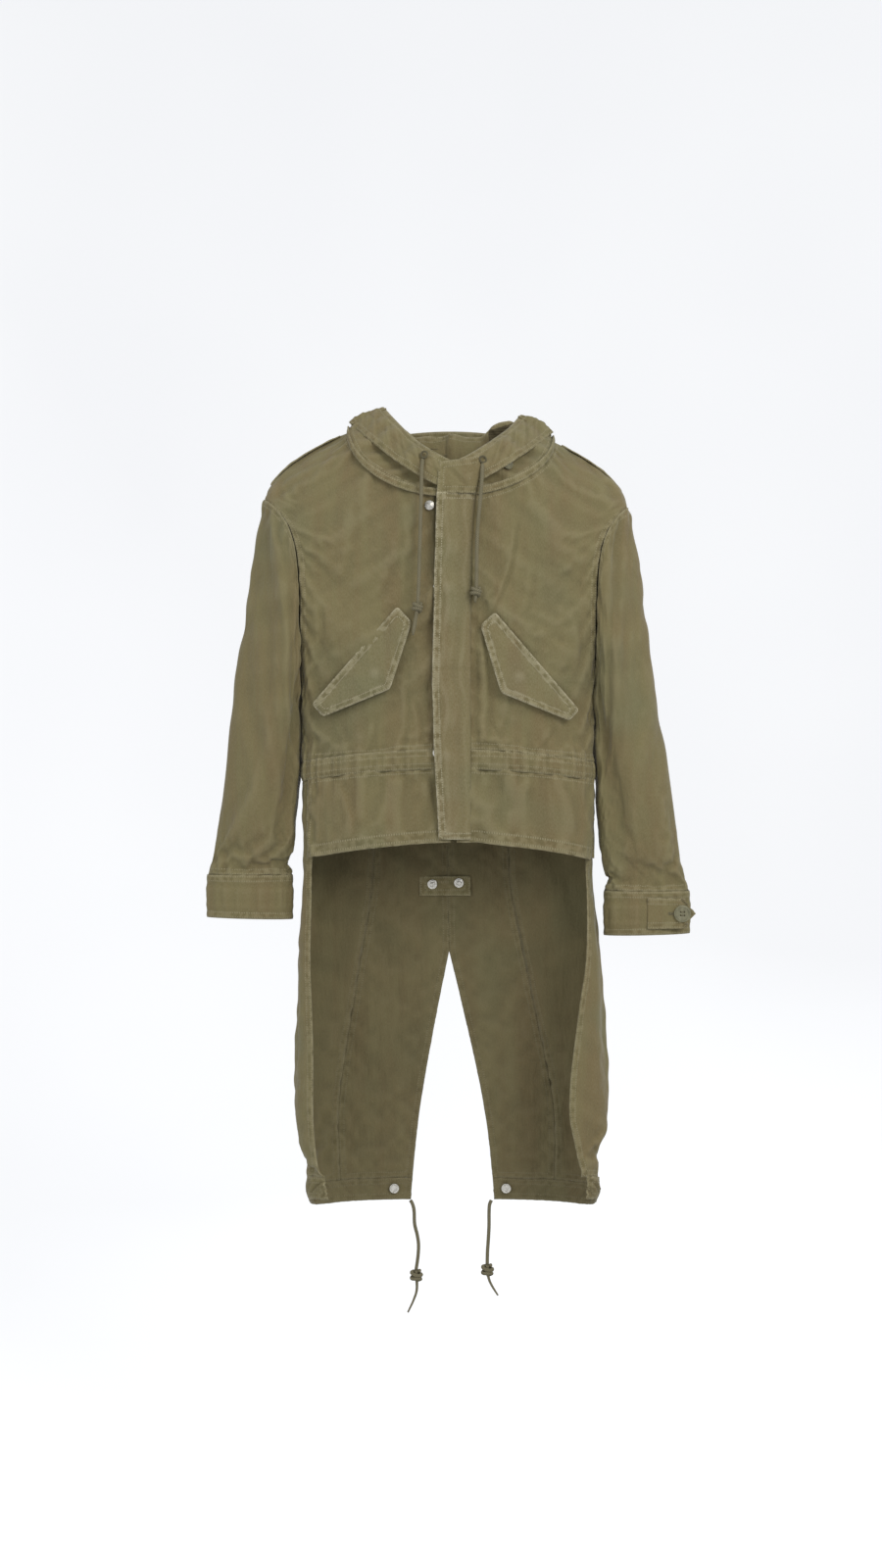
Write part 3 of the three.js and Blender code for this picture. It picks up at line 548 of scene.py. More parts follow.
def ridge_z(side, x):
    share = np.clip((x - side["neckX"]) / (side["tipX"] - side["neckX"]), 0, 1)
    inner = side["neckZ"] + 30 * (1 - (x / side["neckX"]) ** 2)
    outer = side["neckZ"] - (side["neckZ"] - side["tipZ"]) * (1 - np.sqrt(1 - share))
    return np.where(x <= side["neckX"], inner, outer)


def outer_x(side, z):
    share = np.clip((side["neckZ"] - z) / (side["neckZ"] - side["tipZ"]), 0, 1)
    ridge = side["neckX"] + (side["tipX"] - side["neckX"]) * (1 - (1 - share) ** 2)
    rise = np.clip((z - side["armZ"]) / (side["tipZ"] - side["armZ"]), 0, 1)
    arm = side["armX"] - 1 + (side["tipX"] - side["armX"] + 1) * rise ** 6
    return np.where(z < side["armZ"], half_width(z), np.where(z > side["tipZ"], ridge, arm))


def full_width(side, z):
    above = z - side["armZ"]
    return half_width(z) + (above + np.sqrt(above * above + 900.0)) / 2 * ARMHOLE_SPREAD


def depth_at(side, x, z, depth):
    below = np.clip((ridge_z(side, x) - z) / SHOULDER_ROUND, 0, 1)
    across = (1 - np.clip(x / full_width(side, z), 0, 1) ** BOXINESS) ** (1 / BOXINESS)
    return depth * np.sqrt(1 - (1 - below) ** 2) * across


def upper(side, facing, start, share, z):
    width = full_width(side, z)
    edge = angle_at(np.minimum(outer_x(side, z) / width, 0.999999))
    first = angle_at(start / width)
    x = width * squircle(first + (edge - first) * share)[0]
    y = facing * depth_at(side, np.abs(x), z, FRONT_DEPTH if facing < 0 else BACK_DEPTH)
    return np.stack([side["sign"] * x, y, z], axis=-1)


def neckline_z(side, x, centre):
    share = np.clip(np.abs(x) / side["neckX"], 0, 1)
    return centre + (side["neckZ"] - centre) * (1 - np.sqrt(1 - share * share))


def waist_at(share):
    return WAIST_Z - WAIST_SAG * share * share


def hem_at(share):
    return HEM_Z - HEM_SAG * share * share


def upper_panel(side, facing, start, share, v):
    bottom = waist_at(np.abs(squircle(share * math.pi / 2)[0]))
    centre = NECK_FRONT_Z if facing < 0 else NECK_BACK_Z
    low, high = np.full_like(share, centre - 20), np.full_like(share, side["neckZ"])
    for _ in range(30):
        z = (low + high) / 2
        x = upper(side, facing, start, share, z)[..., 0]
        under = z < neckline_z(side, x, centre)
        low, high = np.where(under, z, low), np.where(under, high, z)
    arm = (side["armZ"] - waist_at(1)) / (side["neckZ"] - waist_at(1))
    tip = (side["tipZ"] - waist_at(1)) / (side["neckZ"] - waist_at(1))
    row = np.interp(v, (0, 0.25, 0.75, 1), (0, arm, tip, 1))
    z = bottom + (low - bottom) * (v + (row - v) * share)
    return upper(side, facing, start, share, z)


def lower(side, degrees, z, stand=0.0):
    """The body below the waist, by degrees from the front centre; stand moves it out."""
    across, forward = squircle(np.radians(degrees))
    depth = np.where(forward > 0, FRONT_DEPTH, BACK_DEPTH) + stand
    x = lean(z) + side["sign"] * (half_width(z) + stand) * across
    return np.stack([x, -depth * forward, z + 0 * across], axis=-1)


# The tail's front edges: how far round the waist from the front they hang, by depth below the shoulders.
TAIL_EDGES = {
    "right": ((471, 50), (556, 54), (592, 63), (729, 56), (865, 53), (1003, 51.7), (1070, 49), (1102, 48)),
    "left": ((600, 70), (700, 57), (801, 48), (890, 43), (956, 41.5), (1021, 49), (1070, 53), (1102, 54)),
}


def front_edge(side, z):
    edge = TAIL_EDGES[side["name"]]
    reach = np.linspace(edge[0][0], edge[-1][0], 60)
    bends = np.interp(reach, *zip(*edge))
    for _ in range(6):
        bends[1:-1] = (bends[:-2] + 2 * bends[1:-1] + bends[2:]) / 4
    return np.interp(-z, reach, bends)


def tail_rise(degrees):
    """The hem lifts towards the front, where it is drawn up and twists."""
    return 30.0 * smooth((130.0 - degrees) / 80.0)


def long_seam(side, z):
    return (151 if side is RIGHT else 156) - 17 * smooth((-590 - z) / 520)


def split_edge(z):
    share = np.clip((SPLIT_Z - z) / (SPLIT_Z - TAIL_Z), 0, 1)
    return 180.15 - 17 * (1 - (1 - share) ** 1.3)


def share_of(degrees):
    return np.abs(squircle(np.radians(degrees))[0])


def waist_end(degrees):
    return waist_at(share_of(degrees)) - CASING_HEIGHT


# ---- cloth --------------------------------------------------------------------------------------------
def noise_line(length, scale, seed):
    """A smooth wandering function of a distance, between about -1 and 1, made from a few sines."""
    rng = np.random.default_rng(seed)
    waves = [(2 * math.pi / (scale * f), rng.uniform(0, 6.28), a) for f, a in ((1.0, 0.6), (0.62, 0.45), (1.7, 0.5))]
    return sum(a * np.sin(length * k + phase) for k, phase, a in waves)


def refine(field, rows, columns):
    """A grid of vectors at another resolution, by Catmull-Rom along each axis."""
    for axis, count in ((0, rows), (1, columns)):
        f = np.moveaxis(field, axis, 0)
        t = np.linspace(0, len(f) - 1, count)
        i = np.minimum(t.astype(int), len(f) - 2)
        s = (t - i).reshape(-1, *[1] * (f.ndim - 1))
        a, b, c, d = (f[np.clip(i + k, 0, len(f) - 1)] for k in (-1, 0, 1, 2))
        f = 0.5 * (2 * b + (c - a) * s + (2 * a - 5 * b + 4 * c - d) * s ** 2 + (3 * b - a - 3 * c + d) * s ** 3)
        field = np.moveaxis(f, 0, axis)
    return field


def grid_normals(points):
    across = np.gradient(points, axis=1)
    along = np.gradient(points, axis=0)
    normal = np.cross(across, along)
    return normal / np.maximum(np.linalg.norm(normal, axis=-1, keepdims=True), 1e-9)


def reaches(points):
    """How far each grid point is from the four edges, measured over the cloth: left, right, bottom, top."""
    across = np.linalg.norm(np.diff(points, axis=1), axis=-1)
    along = np.linalg.norm(np.diff(points, axis=0), axis=-1)
    left = np.pad(np.cumsum(across, axis=1), ((0, 0), (1, 0)))
    bottom = np.pad(np.cumsum(along, axis=0), ((1, 0), (0, 0)))
    return left, left[:, -1:] - left, bottom, bottom[-1:] - bottom


def grid_faces(rows, columns, first=0, flip=False):
    a = (np.arange(rows - 1)[:, None] * columns + np.arange(columns - 1)).ravel() + first
    quad = np.stack([a, a + 1, a + columns + 1, a + columns], axis=1)
    return quad[:, ::-1] if flip else quad


SIM_SPACING, FINE_SPACING = 11.0, 3.2
SIM_FRAMES = 26
STITCHED_EDGE = 8.5              # from an edge to its outer row of stitches
CLOTH_SETTINGS = dict(quality=4, mass=0.25, tension_stiffness=22, compression_stiffness=22, shear_stiffness=8,
                      bending_stiffness=1.6, air_damping=2, vertex_group_mass="held")
pieces = []


def cloth(name, place, body, nodes, outward=1, seams="lrbt", pins="lrbt", slack=0.02, cap=7.0, shape=None,
          spacing=FINE_SPACING, thick=CLOTH, simulate=True, blend=None, slot="cotton", pucker=0.55,
          materials=None, hem=STITCHED_EDGE, tube=False):
    """Plans a piece of cloth. place(u, v) gives its outer surface in millimetres, shape(info) moves it."""
    pieces.append(dict(locals()))


def prepare(p):
    """Measures the piece and makes the coarse grid that is simulated."""
    u, v = np.meshgrid(np.linspace(0, 1, 25), np.linspace(0, 1, 25))
    left, _, bottom, _ = reaches(p["place"](u, v))
    p["wide"], p["tall"] = left[:, -1].max(), bottom[-1].max()
    columns = int(np.clip(p["wide"] / SIM_SPACING, 6, 70)) + 1
    rows = int(np.clip(p["tall"] / SIM_SPACING, 6, 70)) + 1
    u, v = np.meshgrid(np.linspace(0, 1, columns), np.linspace(0, 1, rows))
    p["coarse"] = p["place"](u, v)


def pin_weights(p):
    weights = np.zeros(p["coarse"].shape[:2])
    for edge, line in (("l", np.s_[:, 0]), ("r", np.s_[:, -1]), ("b", np.s_[0]), ("t", np.s_[-1])):
        if edge in p["pins"]:
            weights[line] = 1
    if p["tube"]:
        weights[:, -1] = 1
    return weights.ravel()


def simulate_all():
    """Lets every planned piece hang as cloth cut a little larger than its place, held at its seams."""
    scene = bpy.context.scene
    running = []
    for p in pieces:
        prepare(p)
        if not p["simulate"]:
            continue
        rows, columns = p["coarse"].shape[:2]
        rng = np.random.default_rng(len(running) + 3)
        start = p["coarse"] + grid_normals(p["coarse"]) * rng.normal(0, 0.5, (rows, columns, 1))
        faces = grid_faces(rows, columns)
        if p["tube"]:
            start[:, -1] = start[:, 0]
            faces = np.where(faces % columns == columns - 1, faces - columns + 1, faces)
        temp = mesh_object("sim_" + p["name"], start.reshape(-1, 3), faces.tolist(), OUTSIDE)
        group = temp.vertex_groups.new(name="held")
        for i, weight in enumerate(pin_weights(p)):
            if weight > 0:
                group.add([i], float(weight), "REPLACE")
        settings = temp.modifiers.new("cloth", "CLOTH").settings
        for key, value in CLOTH_SETTINGS.items():
            setattr(settings, key, value)
        settings.shrink_min = -p["slack"]
        running.append((p, temp))
    if running:
        scene.gravity = (0, 0, -9.81)
        scene.frame_start, scene.frame_end = 1, SIM_FRAMES
        for number in range(1, SIM_FRAMES + 1):
            scene.frame_set(number)
        graph = bpy.context.evaluated_depsgraph_get()
        for p, temp in running:
            mesh = temp.evaluated_get(graph).to_mesh()
            settled = np.zeros(len(mesh.vertices) * 3)
            mesh.vertices.foreach_get("co", settled)
            p["settled"] = settled.reshape(p["coarse"].shape) / MM
            if p["tube"]:
                p["settled"][:, -1] = p["settled"][:, 0]
        for _, temp in running:
            bpy.data.objects.remove(temp)
        scene.frame_set(1)


def settled_shift(p, rows, columns):
    """How far the simulated cloth moved, held under its cap, on a finer grid."""
    moved = p["settled"] - p["coarse"]
    size = np.linalg.norm(moved, axis=-1, keepdims=True)
    moved = moved * np.tanh(size / p["cap"]) * p["cap"] / np.maximum(size, 1e-6)
    return refine(moved, rows, columns)


def ridge_of(push, closed=False):
    """0.5 on the general run of the cloth, more on its crests and less in its valleys. The cotton paints shade where
    it is low.
    """
    broad = push.copy()
    for _ in range(14):
        if closed:
            padded = np.pad(broad, ((1, 1), (0, 0)), mode="edge")
            padded = np.concatenate([padded[:, -2:-1], padded, padded[:, 1:2]], axis=1)
        else:
            padded = np.pad(broad, 1, mode="edge")
        broad = (padded[:-2, 1:-1] + padded[2:, 1:-1] + padded[1:-1, :-2] + padded[1:-1, 2:]) / 4
    return np.clip(0.5 + (push - broad) * 0.55, 0, 1)


def area_of(points):
    """The area in square metres of a grid of points in millimetres."""
    quads = np.cross(points[1:, 1:] - points[:-1, :-1], points[1:, :-1] - points[:-1, 1:])
    return float(np.linalg.norm(quads, axis=-1).sum() / 2) * MM * MM


def dress(made, fronts, backs, ridge, body, nodes, slot, blend=None):
    """Gives the back faces their own material, stores the ridges and fastens the cloth to its body; a piece with a
    blend only has its place fixed.
    """
    inside = np.zeros(len(made.data.polygons), np.int32)
    inside[fronts:fronts + backs] = 1
    made.data.polygons.foreach_set("material_index", inside)
    layer = made.data.attributes.new("ridge", "FLOAT", "POINT")
    layer.data.foreach_set("value", np.tile(ridge, 2).astype(np.float32))
    if blend:
        other, start, end = blend
        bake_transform(made)
    else:
        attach(made, body)
    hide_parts(*nodes)


def finish_cloth(p):
    columns = int(np.clip(p["wide"] / p["spacing"], 8, 170)) + 1
    rows = int(np.clip(p["tall"] / p["spacing"], 8, 230)) + 1
    u, v = np.meshgrid(np.linspace(0, 1, columns), np.linspace(0, 1, rows))
    base = p["place"](u, v)
    normal = grid_normals(base) * p["outward"]
    left, right, bottom, top = reaches(base)
    # A hem's outer row of stitches is drawn further from its edge than a seam's.
    distance = {"l": left, "r": right, "b": bottom * (STITCHED_EDGE / p["hem"]), "t": top}
    along = {"l": bottom, "r": bottom, "b": left, "t": left}
    seam, travel = np.full(base.shape[:2], 1000.0), np.zeros(base.shape[:2])
    for edge in p["seams"]:
        nearer = distance[edge] < seam
        seam = np.where(nearer, distance[edge], seam)
        travel = np.where(nearer, along[edge], travel)
    push = np.zeros(base.shape[:2])
    points = base
    if "settled" in p:
        moved = settled_shift(p, rows, columns)
        points = points + moved
        push = push + (moved * normal).sum(-1)
    # Cloth draws up between stitches: small puckers that die away from each seam.
    rough = noise_line(travel, 9.0, 11) * 0.6 + noise_line(travel + seam * 0.8, 14.0, 12) * 0.5
    small = p["pucker"] * rough * np.exp(-seam / 7.0) * np.minimum(1, seam / 1.2)
    if p["shape"]:
        small = small + p["shape"](dict(u=u, v=v, left=left, right=right, bottom=bottom, top=top, base=base))
    points = points + normal * small[..., None]
    build_cloth(p, points, left, bottom, seam, travel, ridge_of(push + small))


def build_cloth(p, points, left, bottom, seam, travel, ridge):
    rows, columns = points.shape[:2]
    outward = p["outward"]
    inner = points - grid_normals(points) * outward * p["thick"]
    count = rows * columns
    outer_faces = grid_faces(rows, columns, 0, outward < 0)
    inner_faces = grid_faces(rows, columns, count, outward > 0)
    index = np.arange(count).reshape(rows, columns)
    ring = np.concatenate([index[0, :-1], index[:-1, -1], index[-1, :0:-1], index[:0:-1, 0]])
    after = np.roll(ring, -1)
    rim = np.stack([after, ring, ring + count, after + count], axis=1)
    if outward < 0:
        rim = rim[:, ::-1]
    faces = np.concatenate([outer_faces, inner_faces, rim])
    cloth_uv = np.stack([left * MM, bottom * MM], axis=-1).reshape(-1, 2)
    seam_uv = np.stack([seam * MM, travel * MM], axis=-1).reshape(-1, 2)
    uvs = {"cloth": np.tile(cloth_uv, (2, 1)), "seam": np.tile(seam_uv, (2, 1))}
    made = mesh_object(p["name"], np.concatenate([points.reshape(-1, 3), inner.reshape(-1, 3)]), faces.tolist(),
                       p["materials"] or (OUTSIDE, INSIDE), uvs)
    dress(made, len(outer_faces), len(inner_faces), ridge.ravel(), p["body"], p["nodes"], p["slot"], p["blend"])
    wide, tall = (float(np.linalg.norm(np.diff(points, axis=axis), axis=-1).sum(axis=axis).max()) * MM
                  for axis in (1, 0))
    if min(wide, tall) >= 0.01:
        area_of(points)


def pleats(across, period, seed):
    """Small pinched folds: round crests with sharp valleys between."""
    wave = noise_line(across, period, seed)
    return 0.55 * wave + 0.9 * (0.45 - np.abs(noise_line(across, period * 2.0, seed + 7)))


def gathers(info, edge, height, period, reach, seed=5, lap=0.0):
    """Folds drawn up by a cord along an edge, dying away from it."""
    across = info["left"] + 1.5 * noise_line(info[edge], 60.0, seed + 1)
    return height * pleats(across, period, seed) * np.exp(-np.maximum(info[edge] - lap, 0) / reach)


def spread_folds(info, height, period, seed, edge=None, reach=200.0):
    """Long soft folds that hang down the cloth."""
    drift = info["left"] + 14 * noise_line(info["bottom"], 260.0, seed + 3)
    folds = height * noise_line(drift, period, seed)
    if edge:
        folds = folds * np.exp(-info[edge] / reach)
    hold = smooth(np.minimum(info["left"], info["right"]) / 30.0)
    return folds * hold


# ---- body panels --------------------------------------------------------------------------------------
# Lasting creases in the cloth: both ends in x and z, how deep and how wide.
CREASES = {
    "front_left": (((96, -134), (62, -250), 2.4, 3.0), ((51, -300), (50, -448), 3.2, 4.5),
                   ((58, -400), (84, -456), 1.6, 3.0), ((120, -190), (104, -262), 1.4, 5.0),
                   ((150, -412), (118, -450), 1.5, 3.5), ((176, -250), (186, -330), 1.5, 5.0),
                   ((88, -330), (76, -420), 1.3, 4.0)),
    "front_right": (((-102, -400), (-114, -452), 1.9, 3.0), ((-58, -355), (-66, -446), 2.2, 3.5),
                    ((-47, -372), (-38, -436), 1.8, 3.2), ((-62, -130), (-96, -232), 1.5, 6.0),
                    ((-150, -408), (-136, -452), 1.6, 3.5), ((-176, -240), (-190, -340), 1.6, 5.0),
                    ((-128, -100), (-146, -210), 1.4, 7.0)),
    "skirt_left": (((60, -472), (72, -552), 1.8, 6.0), ((118, -476), (108, -520), 1.7, 4.0),
                   ((160, -482), (182, -560), 2.0, 6.0), ((92, -474), (100, -500), 1.5, 3.0)),
    "skirt_right": (((-147, -486), (-128, -560), 2.1, 5.0), ((-64, -472), (-56, -505), 1.8, 3.4),
                    ((-92, -474), (-104, -540), 1.6, 6.0), ((-30, -478), (-12, -545), 1.8, 6.0)),
}


def creases_of(name, info):
    """Each crease is a soft valley that fades at its ends, with a low ridge beside it."""
    x, z = info["base"][..., 0], info["base"][..., 2]
    total = np.zeros(x.shape)
    for start, end, deep, wide in CREASES[name]:
        a, b = np.asarray(start, float), np.asarray(end, float)
        reach = np.linalg.norm(b - a)
        run = (b - a) / reach
        along = ((x - a[0]) * run[0] + (z - a[1]) * run[1]) / reach
        off = (x - a[0]) * run[1] - (z - a[1]) * run[0] + 0.06 * reach * np.sin(math.pi * np.clip(along, 0, 1))
        fade = smooth((along + 0.12) / 0.3) * smooth((1.12 - along) / 0.3)
        total += fade * deep * (0.7 * np.exp(-((off - 1.6 * wide) / (1.3 * wide)) ** 2) - np.exp(-(off / wide) ** 2))
    return total


def front_folds(side):
    """Gathers above the waist, a vertical drape from the shoulder and small creases."""
    def shape(info):
        waist = gathers(info, "bottom", 2.4, 14.0, 18.0, 5 + side["sign"])
        drape = (spread_folds(info, 1.5, 120.0, 21 + side["sign"], "bottom", 200.0)
                 + spread_folds(info, 0.7, 38.0, 24 + side["sign"], "bottom", 110.0)
                 + creases_of(f"front_{side['name']}", info))
        creases = 0.7 * noise_line(info["bottom"] + 0.5 * info["left"], 46.0, 8) * smooth(info["top"] / 40)
        under_flap = -5.0 * smooth((28.0 - info["left"]) / 9.0) if side is RIGHT else 0.0
        beside_flap = -3.2 * np.exp(-((info["left"] - 27.0) / 4.5) ** 2) * smooth((250.0 - info["bottom"]) / 120)
        fold = under_flap if side is RIGHT else beside_flap
        return waist + drape + fold + creases * smooth(np.minimum(info["left"], info["right"]) / 25)
    return shape


def skirt_folds(side):
    def shape(info):
        return (gathers(info, "top", 2.4, 14.0, 20.0, 5 + side["sign"], 5.0)
                + spread_folds(info, 1.8, 66.0, 31 + side["sign"], "top", 90.0)
                + spread_folds(info, 0.9, 30.0, 35 + side["sign"], "top", 50.0)
                + creases_of(f"skirt_{side['name']}", info)
                + 0.9 * noise_line(info["left"], 26.0, 33) * np.exp(-info["bottom"] / 22.0))
    return shape


def casing_folds(seed):
    """A tunnel puckered tight by the cord inside, standing a little proud."""
    def shape(info):
        drift = 1.5 * noise_line(np.zeros(1), 60.0, seed + 1) + 1.2 * np.sin(math.pi * info["v"])
        drawn = smooth((info["left"] - 22.0) / 12.0) if seed != 61 else 1.0
        swell = 2.6 * np.sin(math.pi * info["v"]) ** 0.7
        rows = sum(np.exp(-((info["v"] - at) / 0.035) ** 2) for at in (0.1, 0.5, 0.9))
        return swell * drawn + 2.4 * pleats(info["left"] + drift, 14.0, seed) * drawn - 0.6 * rows
    return shape


def hang_folds(seed, height=3.0, period=70.0, edge="top"):
    def shape(info):
        low = smooth(info[edge] / 220.0)
        hem = 1.0 + 0.8 * noise_line(info["left"], 30.0, seed + 9) * np.exp(-info["bottom"] / 40.0)
        return (spread_folds(info, height, period, seed) * (0.35 + 0.65 * low) * hem
                + 0.8 * noise_line(info["bottom"] + 0.4 * info["left"], 58.0, seed + 2)
                * smooth(np.minimum(info["left"], info["right"]) / 30))
    return shape


def to_opening(spot, u, centre):
    """Draws the inner end of a front piece across to the opening."""
    spot[..., 0] += (centre - lean(spot[..., 2])) * (1 - u) ** 3
    return spot


def body_panels():
    for side in SIDES:
        sign, name = side["sign"], side["name"]
        centre = ZIP_X + sign * OPENING_WIDTH / 2

        def front(u, v, side=side, centre=centre):
            base = upper_panel(side, -1, np.abs(centre), u, v)
            if np.sign(centre) != side["sign"]:
                # The wearer's right front crosses the middle to reach the opening.
                pull = (1 - u) ** 3
                base[..., 0] = base[..., 0] * (1 - pull) + centre * pull
            return base

        cloth(f"front_{name}_cloth", front, "coat", [f"front_{name}"], outward=sign, slack=0.014, cap=6.0,
              shape=front_folds(side))

        def skirt(u, v, side=side, centre=centre):
            # The wearer's right front is cut narrower, so the side seam shows beside it.
            degrees = (62.0 if side is RIGHT else 89.0) * u
            share = share_of(degrees)
            top = waist_at(share) - CASING_HEIGHT + 4.0
            z = hem_at(share) + (top - hem_at(share)) * v
            spot = lower(side, degrees, z)
            behind = 1.8 * smooth((z - top + 4.6) / 4.0) - 1.6 * smooth((u - 0.9) / 0.1)
            spot[..., 1] += behind * (1 - u ** 4)
            spot[..., 0] -= side["sign"] * behind * u ** 4
            return to_opening(spot, u, centre)

        cloth(f"skirt_{name}_cloth", skirt, "coat", [f"skirt_{name}"], outward=sign, cap=6.0,
              pins="lrt", shape=skirt_folds(side), hem=16.0)

        def casing(u, v, side=side, centre=centre):
            z = waist_at(share_of(90.0 * u)) - CASING_HEIGHT * (1 - v)
            spot = lower(side, 90.0 * u, z)
            return to_opening(spot, u, centre)

        cloth(f"waist_casing_{name}_cloth", casing, "coat", [f"waist_casing_{name}"], outward=sign,
              simulate=False, spacing=2.2, shape=casing_folds(5 + sign), pucker=0.2)

    def back(u, v):
        """From the wearer's right to left across the back."""
        share = 2 * u - 1
        spots = [upper_panel(side, 1, 0.0, np.abs(share), v) for side in SIDES]
        mix = smooth(share * 4 + 0.5)[..., None]
        both = spots[0] * (1 - mix) + spots[1] * mix
        middle = np.abs(share) < 0.125
        both[..., 0] = np.where(middle, spots[0][..., 0] * (share < 0) + spots[1][..., 0] * (share >= 0), both[..., 0])
        return both

    cloth("back_cloth", back, "coat", ["back_upper"], outward=-1, slack=0.012, cap=6.0,
          shape=lambda i: gathers(i, "bottom", 2.4, 14.0, 18.0, 61) + spread_folds(i, 1.3, 150.0, 62, "bottom", 160))

    def back_casing(u, v):
        turn = -90 + 180 * u
        return lower(RIGHT, 180 + turn, waist_at(np.abs(turn / 90)) - CASING_HEIGHT * (1 - v))

    cloth("waist_casing_back_cloth", back_casing, "coat", ["waist_casing_back"], outward=-1, simulate=False,
          spacing=2.6, shape=casing_folds(61), pucker=0.2)


def under_casing(degrees, z):
    """The tail's top edge is sewn in behind the waist casing."""
    return -1.8 * smooth((z - waist_end(degrees) + 1.0) / 4.0)


def tail_panels():
    """The tail below the waist, wrapped round from the side to the centre back, in one length to its hem."""
    for side in SIDES:
        sign, name = side["sign"], side["name"]
        blend = (f"tail_leg_{name}", (0.0, 78.0, SPLIT_Z), (0.0, 78.0, SPLIT_Z - 101.0))

        def edges(z, side=side):
            return front_edge(side, z), long_seam(side, z), split_edge(z)

        def side_panel(u, v, side=side):
            z = TAIL_CASING_Z + (TAIL_TOP_Z - TAIL_CASING_Z) * v
            first, seam, _ = edges(z, side)
            degrees = first + (seam - first) * u
            low = TAIL_CASING_Z + tail_rise(degrees)
            z = low + (waist_end(degrees) + 3.6 - low) * v
            first, seam, _ = edges(z, side)
            degrees = first + (seam - first) * u
            spot = lower(side, degrees, z, under_casing(degrees, z))
            # Above the front hem the tail is sewn in behind the skirt.
            limit = 60 if side is RIGHT else 86
            tucked = smooth((z + 640) / 60) * (1 - smooth((degrees - limit) / 10))
            spot[..., 0] -= side["sign"] * 3.2 * tucked
            spot[..., 1] += 5.0 * tucked
            return spot

        cloth(f"tail_side_{name}_cloth", side_panel, "coat", [f"tail_side_{name}", f"leg_side_{name}"],
              outward=sign, slack=0.012, cap=8.0, blend=blend, pins="rbt", shape=hang_folds(70 + sign, 1.4, 150.0))

        def centre_panel(u, v, side=side):
            z = TAIL_CASING_Z + (TAIL_TOP_Z - TAIL_CASING_Z) * v
            _, seam, split = edges(z, side)
            degrees = seam + (split - seam) * u
            z = TAIL_CASING_Z + (waist_end(degrees) + 3.6 - TAIL_CASING_Z) * v
            _, seam, split = edges(z, side)
            degrees = seam + (split - seam) * u
            return lower(side, degrees, z, under_casing(degrees, z))

        cloth(f"tail_centre_{name}_cloth", centre_panel, "coat", [f"tail_centre_{name}", f"leg_centre_{name}"],
              outward=sign, slack=0.008, cap=5.0, blend=blend, shape=hang_folds(80 + sign, 0.8, 110.0))

        def hem(u, v, side=side):
            z = TAIL_Z + (TAIL_CASING_Z - TAIL_Z) * v
            first, _, split = edges(z, side)
            degrees = first + 1.5 + (split - first - 1.5) * u
            return lower(side, degrees, z + tail_rise(degrees))

        cloth(f"tail_casing_{name}_cloth", hem, f"tail_leg_{name}", [f"tail_casing_{name}"], outward=sign,
              simulate=False, spacing=2.4, shape=tail_casing_folds(90 + sign), pucker=0.4)


def tail_casing_folds(seed):
    """The hem tunnel, drawn up and twisted towards its outer end."""
    def shape(info):
        twist = np.exp(-info["left"] / 90.0)
        across = info["left"] + (0.6 + 0.9 * twist) * info["bottom"]
        return (1.8 * np.sin(math.pi * info["v"]) + (0.9 + 2.2 * twist) * noise_line(across, 13.0, seed)
                * np.sin(math.pi * np.clip(info["v"], 0.1, 0.9)))
    return shape


# ---- sleeves ------------------------------------------------------------------------------------------
def sleeve_ring(side, turn):
    """The armhole: a turn of 0 is the top of the shoulder, a quarter turn the front."""
    middle, reach = (side["tipZ"] + side["armZ"]) / 2, (side["tipZ"] - side["armZ"]) / 2
    z = middle + reach * np.cos(turn) * 0.999
    x = outer_x(side, z) + 1.2
    depth = depth_at(side, outer_x(side, z) * 0.999, z, np.where(np.sin(turn) > 0, FRONT_DEPTH, BACK_DEPTH))
    y = -np.sign(np.sin(turn)) * depth - 2.2 * np.sin(turn)
    z = middle + (reach + 1.0) * np.cos(turn)
    return np.stack([x, y, z], axis=-1)


def sleeve_surface(side):
    def place(u, v):
        turn = 2 * math.pi * u + math.pi
        top = sleeve_ring(side, turn)
        cuff = np.stack([side["cuffX"] + CUFF_HALF_WIDTH * np.cos(turn) * 0.99,
                         -CUFF_HALF_DEPTH * np.sin(turn), side["cuffZ"] + 0 * turn], axis=-1)
        down = (1 - v)[..., None]
        spot = top * (1 - down) + cuff * down
        swell = 4 * (1 - v) * v
        spot[..., 0] += side["bulge"] * np.maximum(0, np.cos(turn)) * swell
        spot[..., 1] += -10 * np.sin(turn) * swell
        spot[..., 0] *= side["sign"]
        return spot
    return place


def sleeve_folds(side):
    """Drag lines that slant down from the underarm, gathers into the cuff and a long crease."""
    def shape(info):
        turn = 2 * math.pi * info["u"] + math.pi
        hold = smooth(np.minimum(info["top"], info["bottom"]) / 25.0)
        slant = info["bottom"] * 0.9 + side["sign"] * 26 * np.sin(turn)
        drag = 1.5 * noise_line(slant, 80.0, 51) * smooth((info["v"] - 0.25) / 0.5)
        ripple = 1.3 * noise_line(info["left"], 22.0, 52 + side["sign"]) * np.exp(-info["bottom"] / 34.0)
        long = 1.7 * noise_line(info["left"] + 9 * noise_line(info["bottom"], 240.0, 54), 88.0, 53 + side["sign"])
        head = 0.9 * noise_line(info["left"], 18.0, 55) * np.exp(-info["top"] / 22.0)
        return (drag + long) * hold + (ripple + head) * smooth(np.minimum(info["top"], info["bottom"]) / 3)
    return shape


def plan_sleeves():
    for side in SIDES:
        cloth(f"sleeve_{side['name']}_cloth", sleeve_surface(side), "coat", [f"sleeve_{side['name']}"], slack=0.022,
              cap=8.0, pins="bt", tube=True)


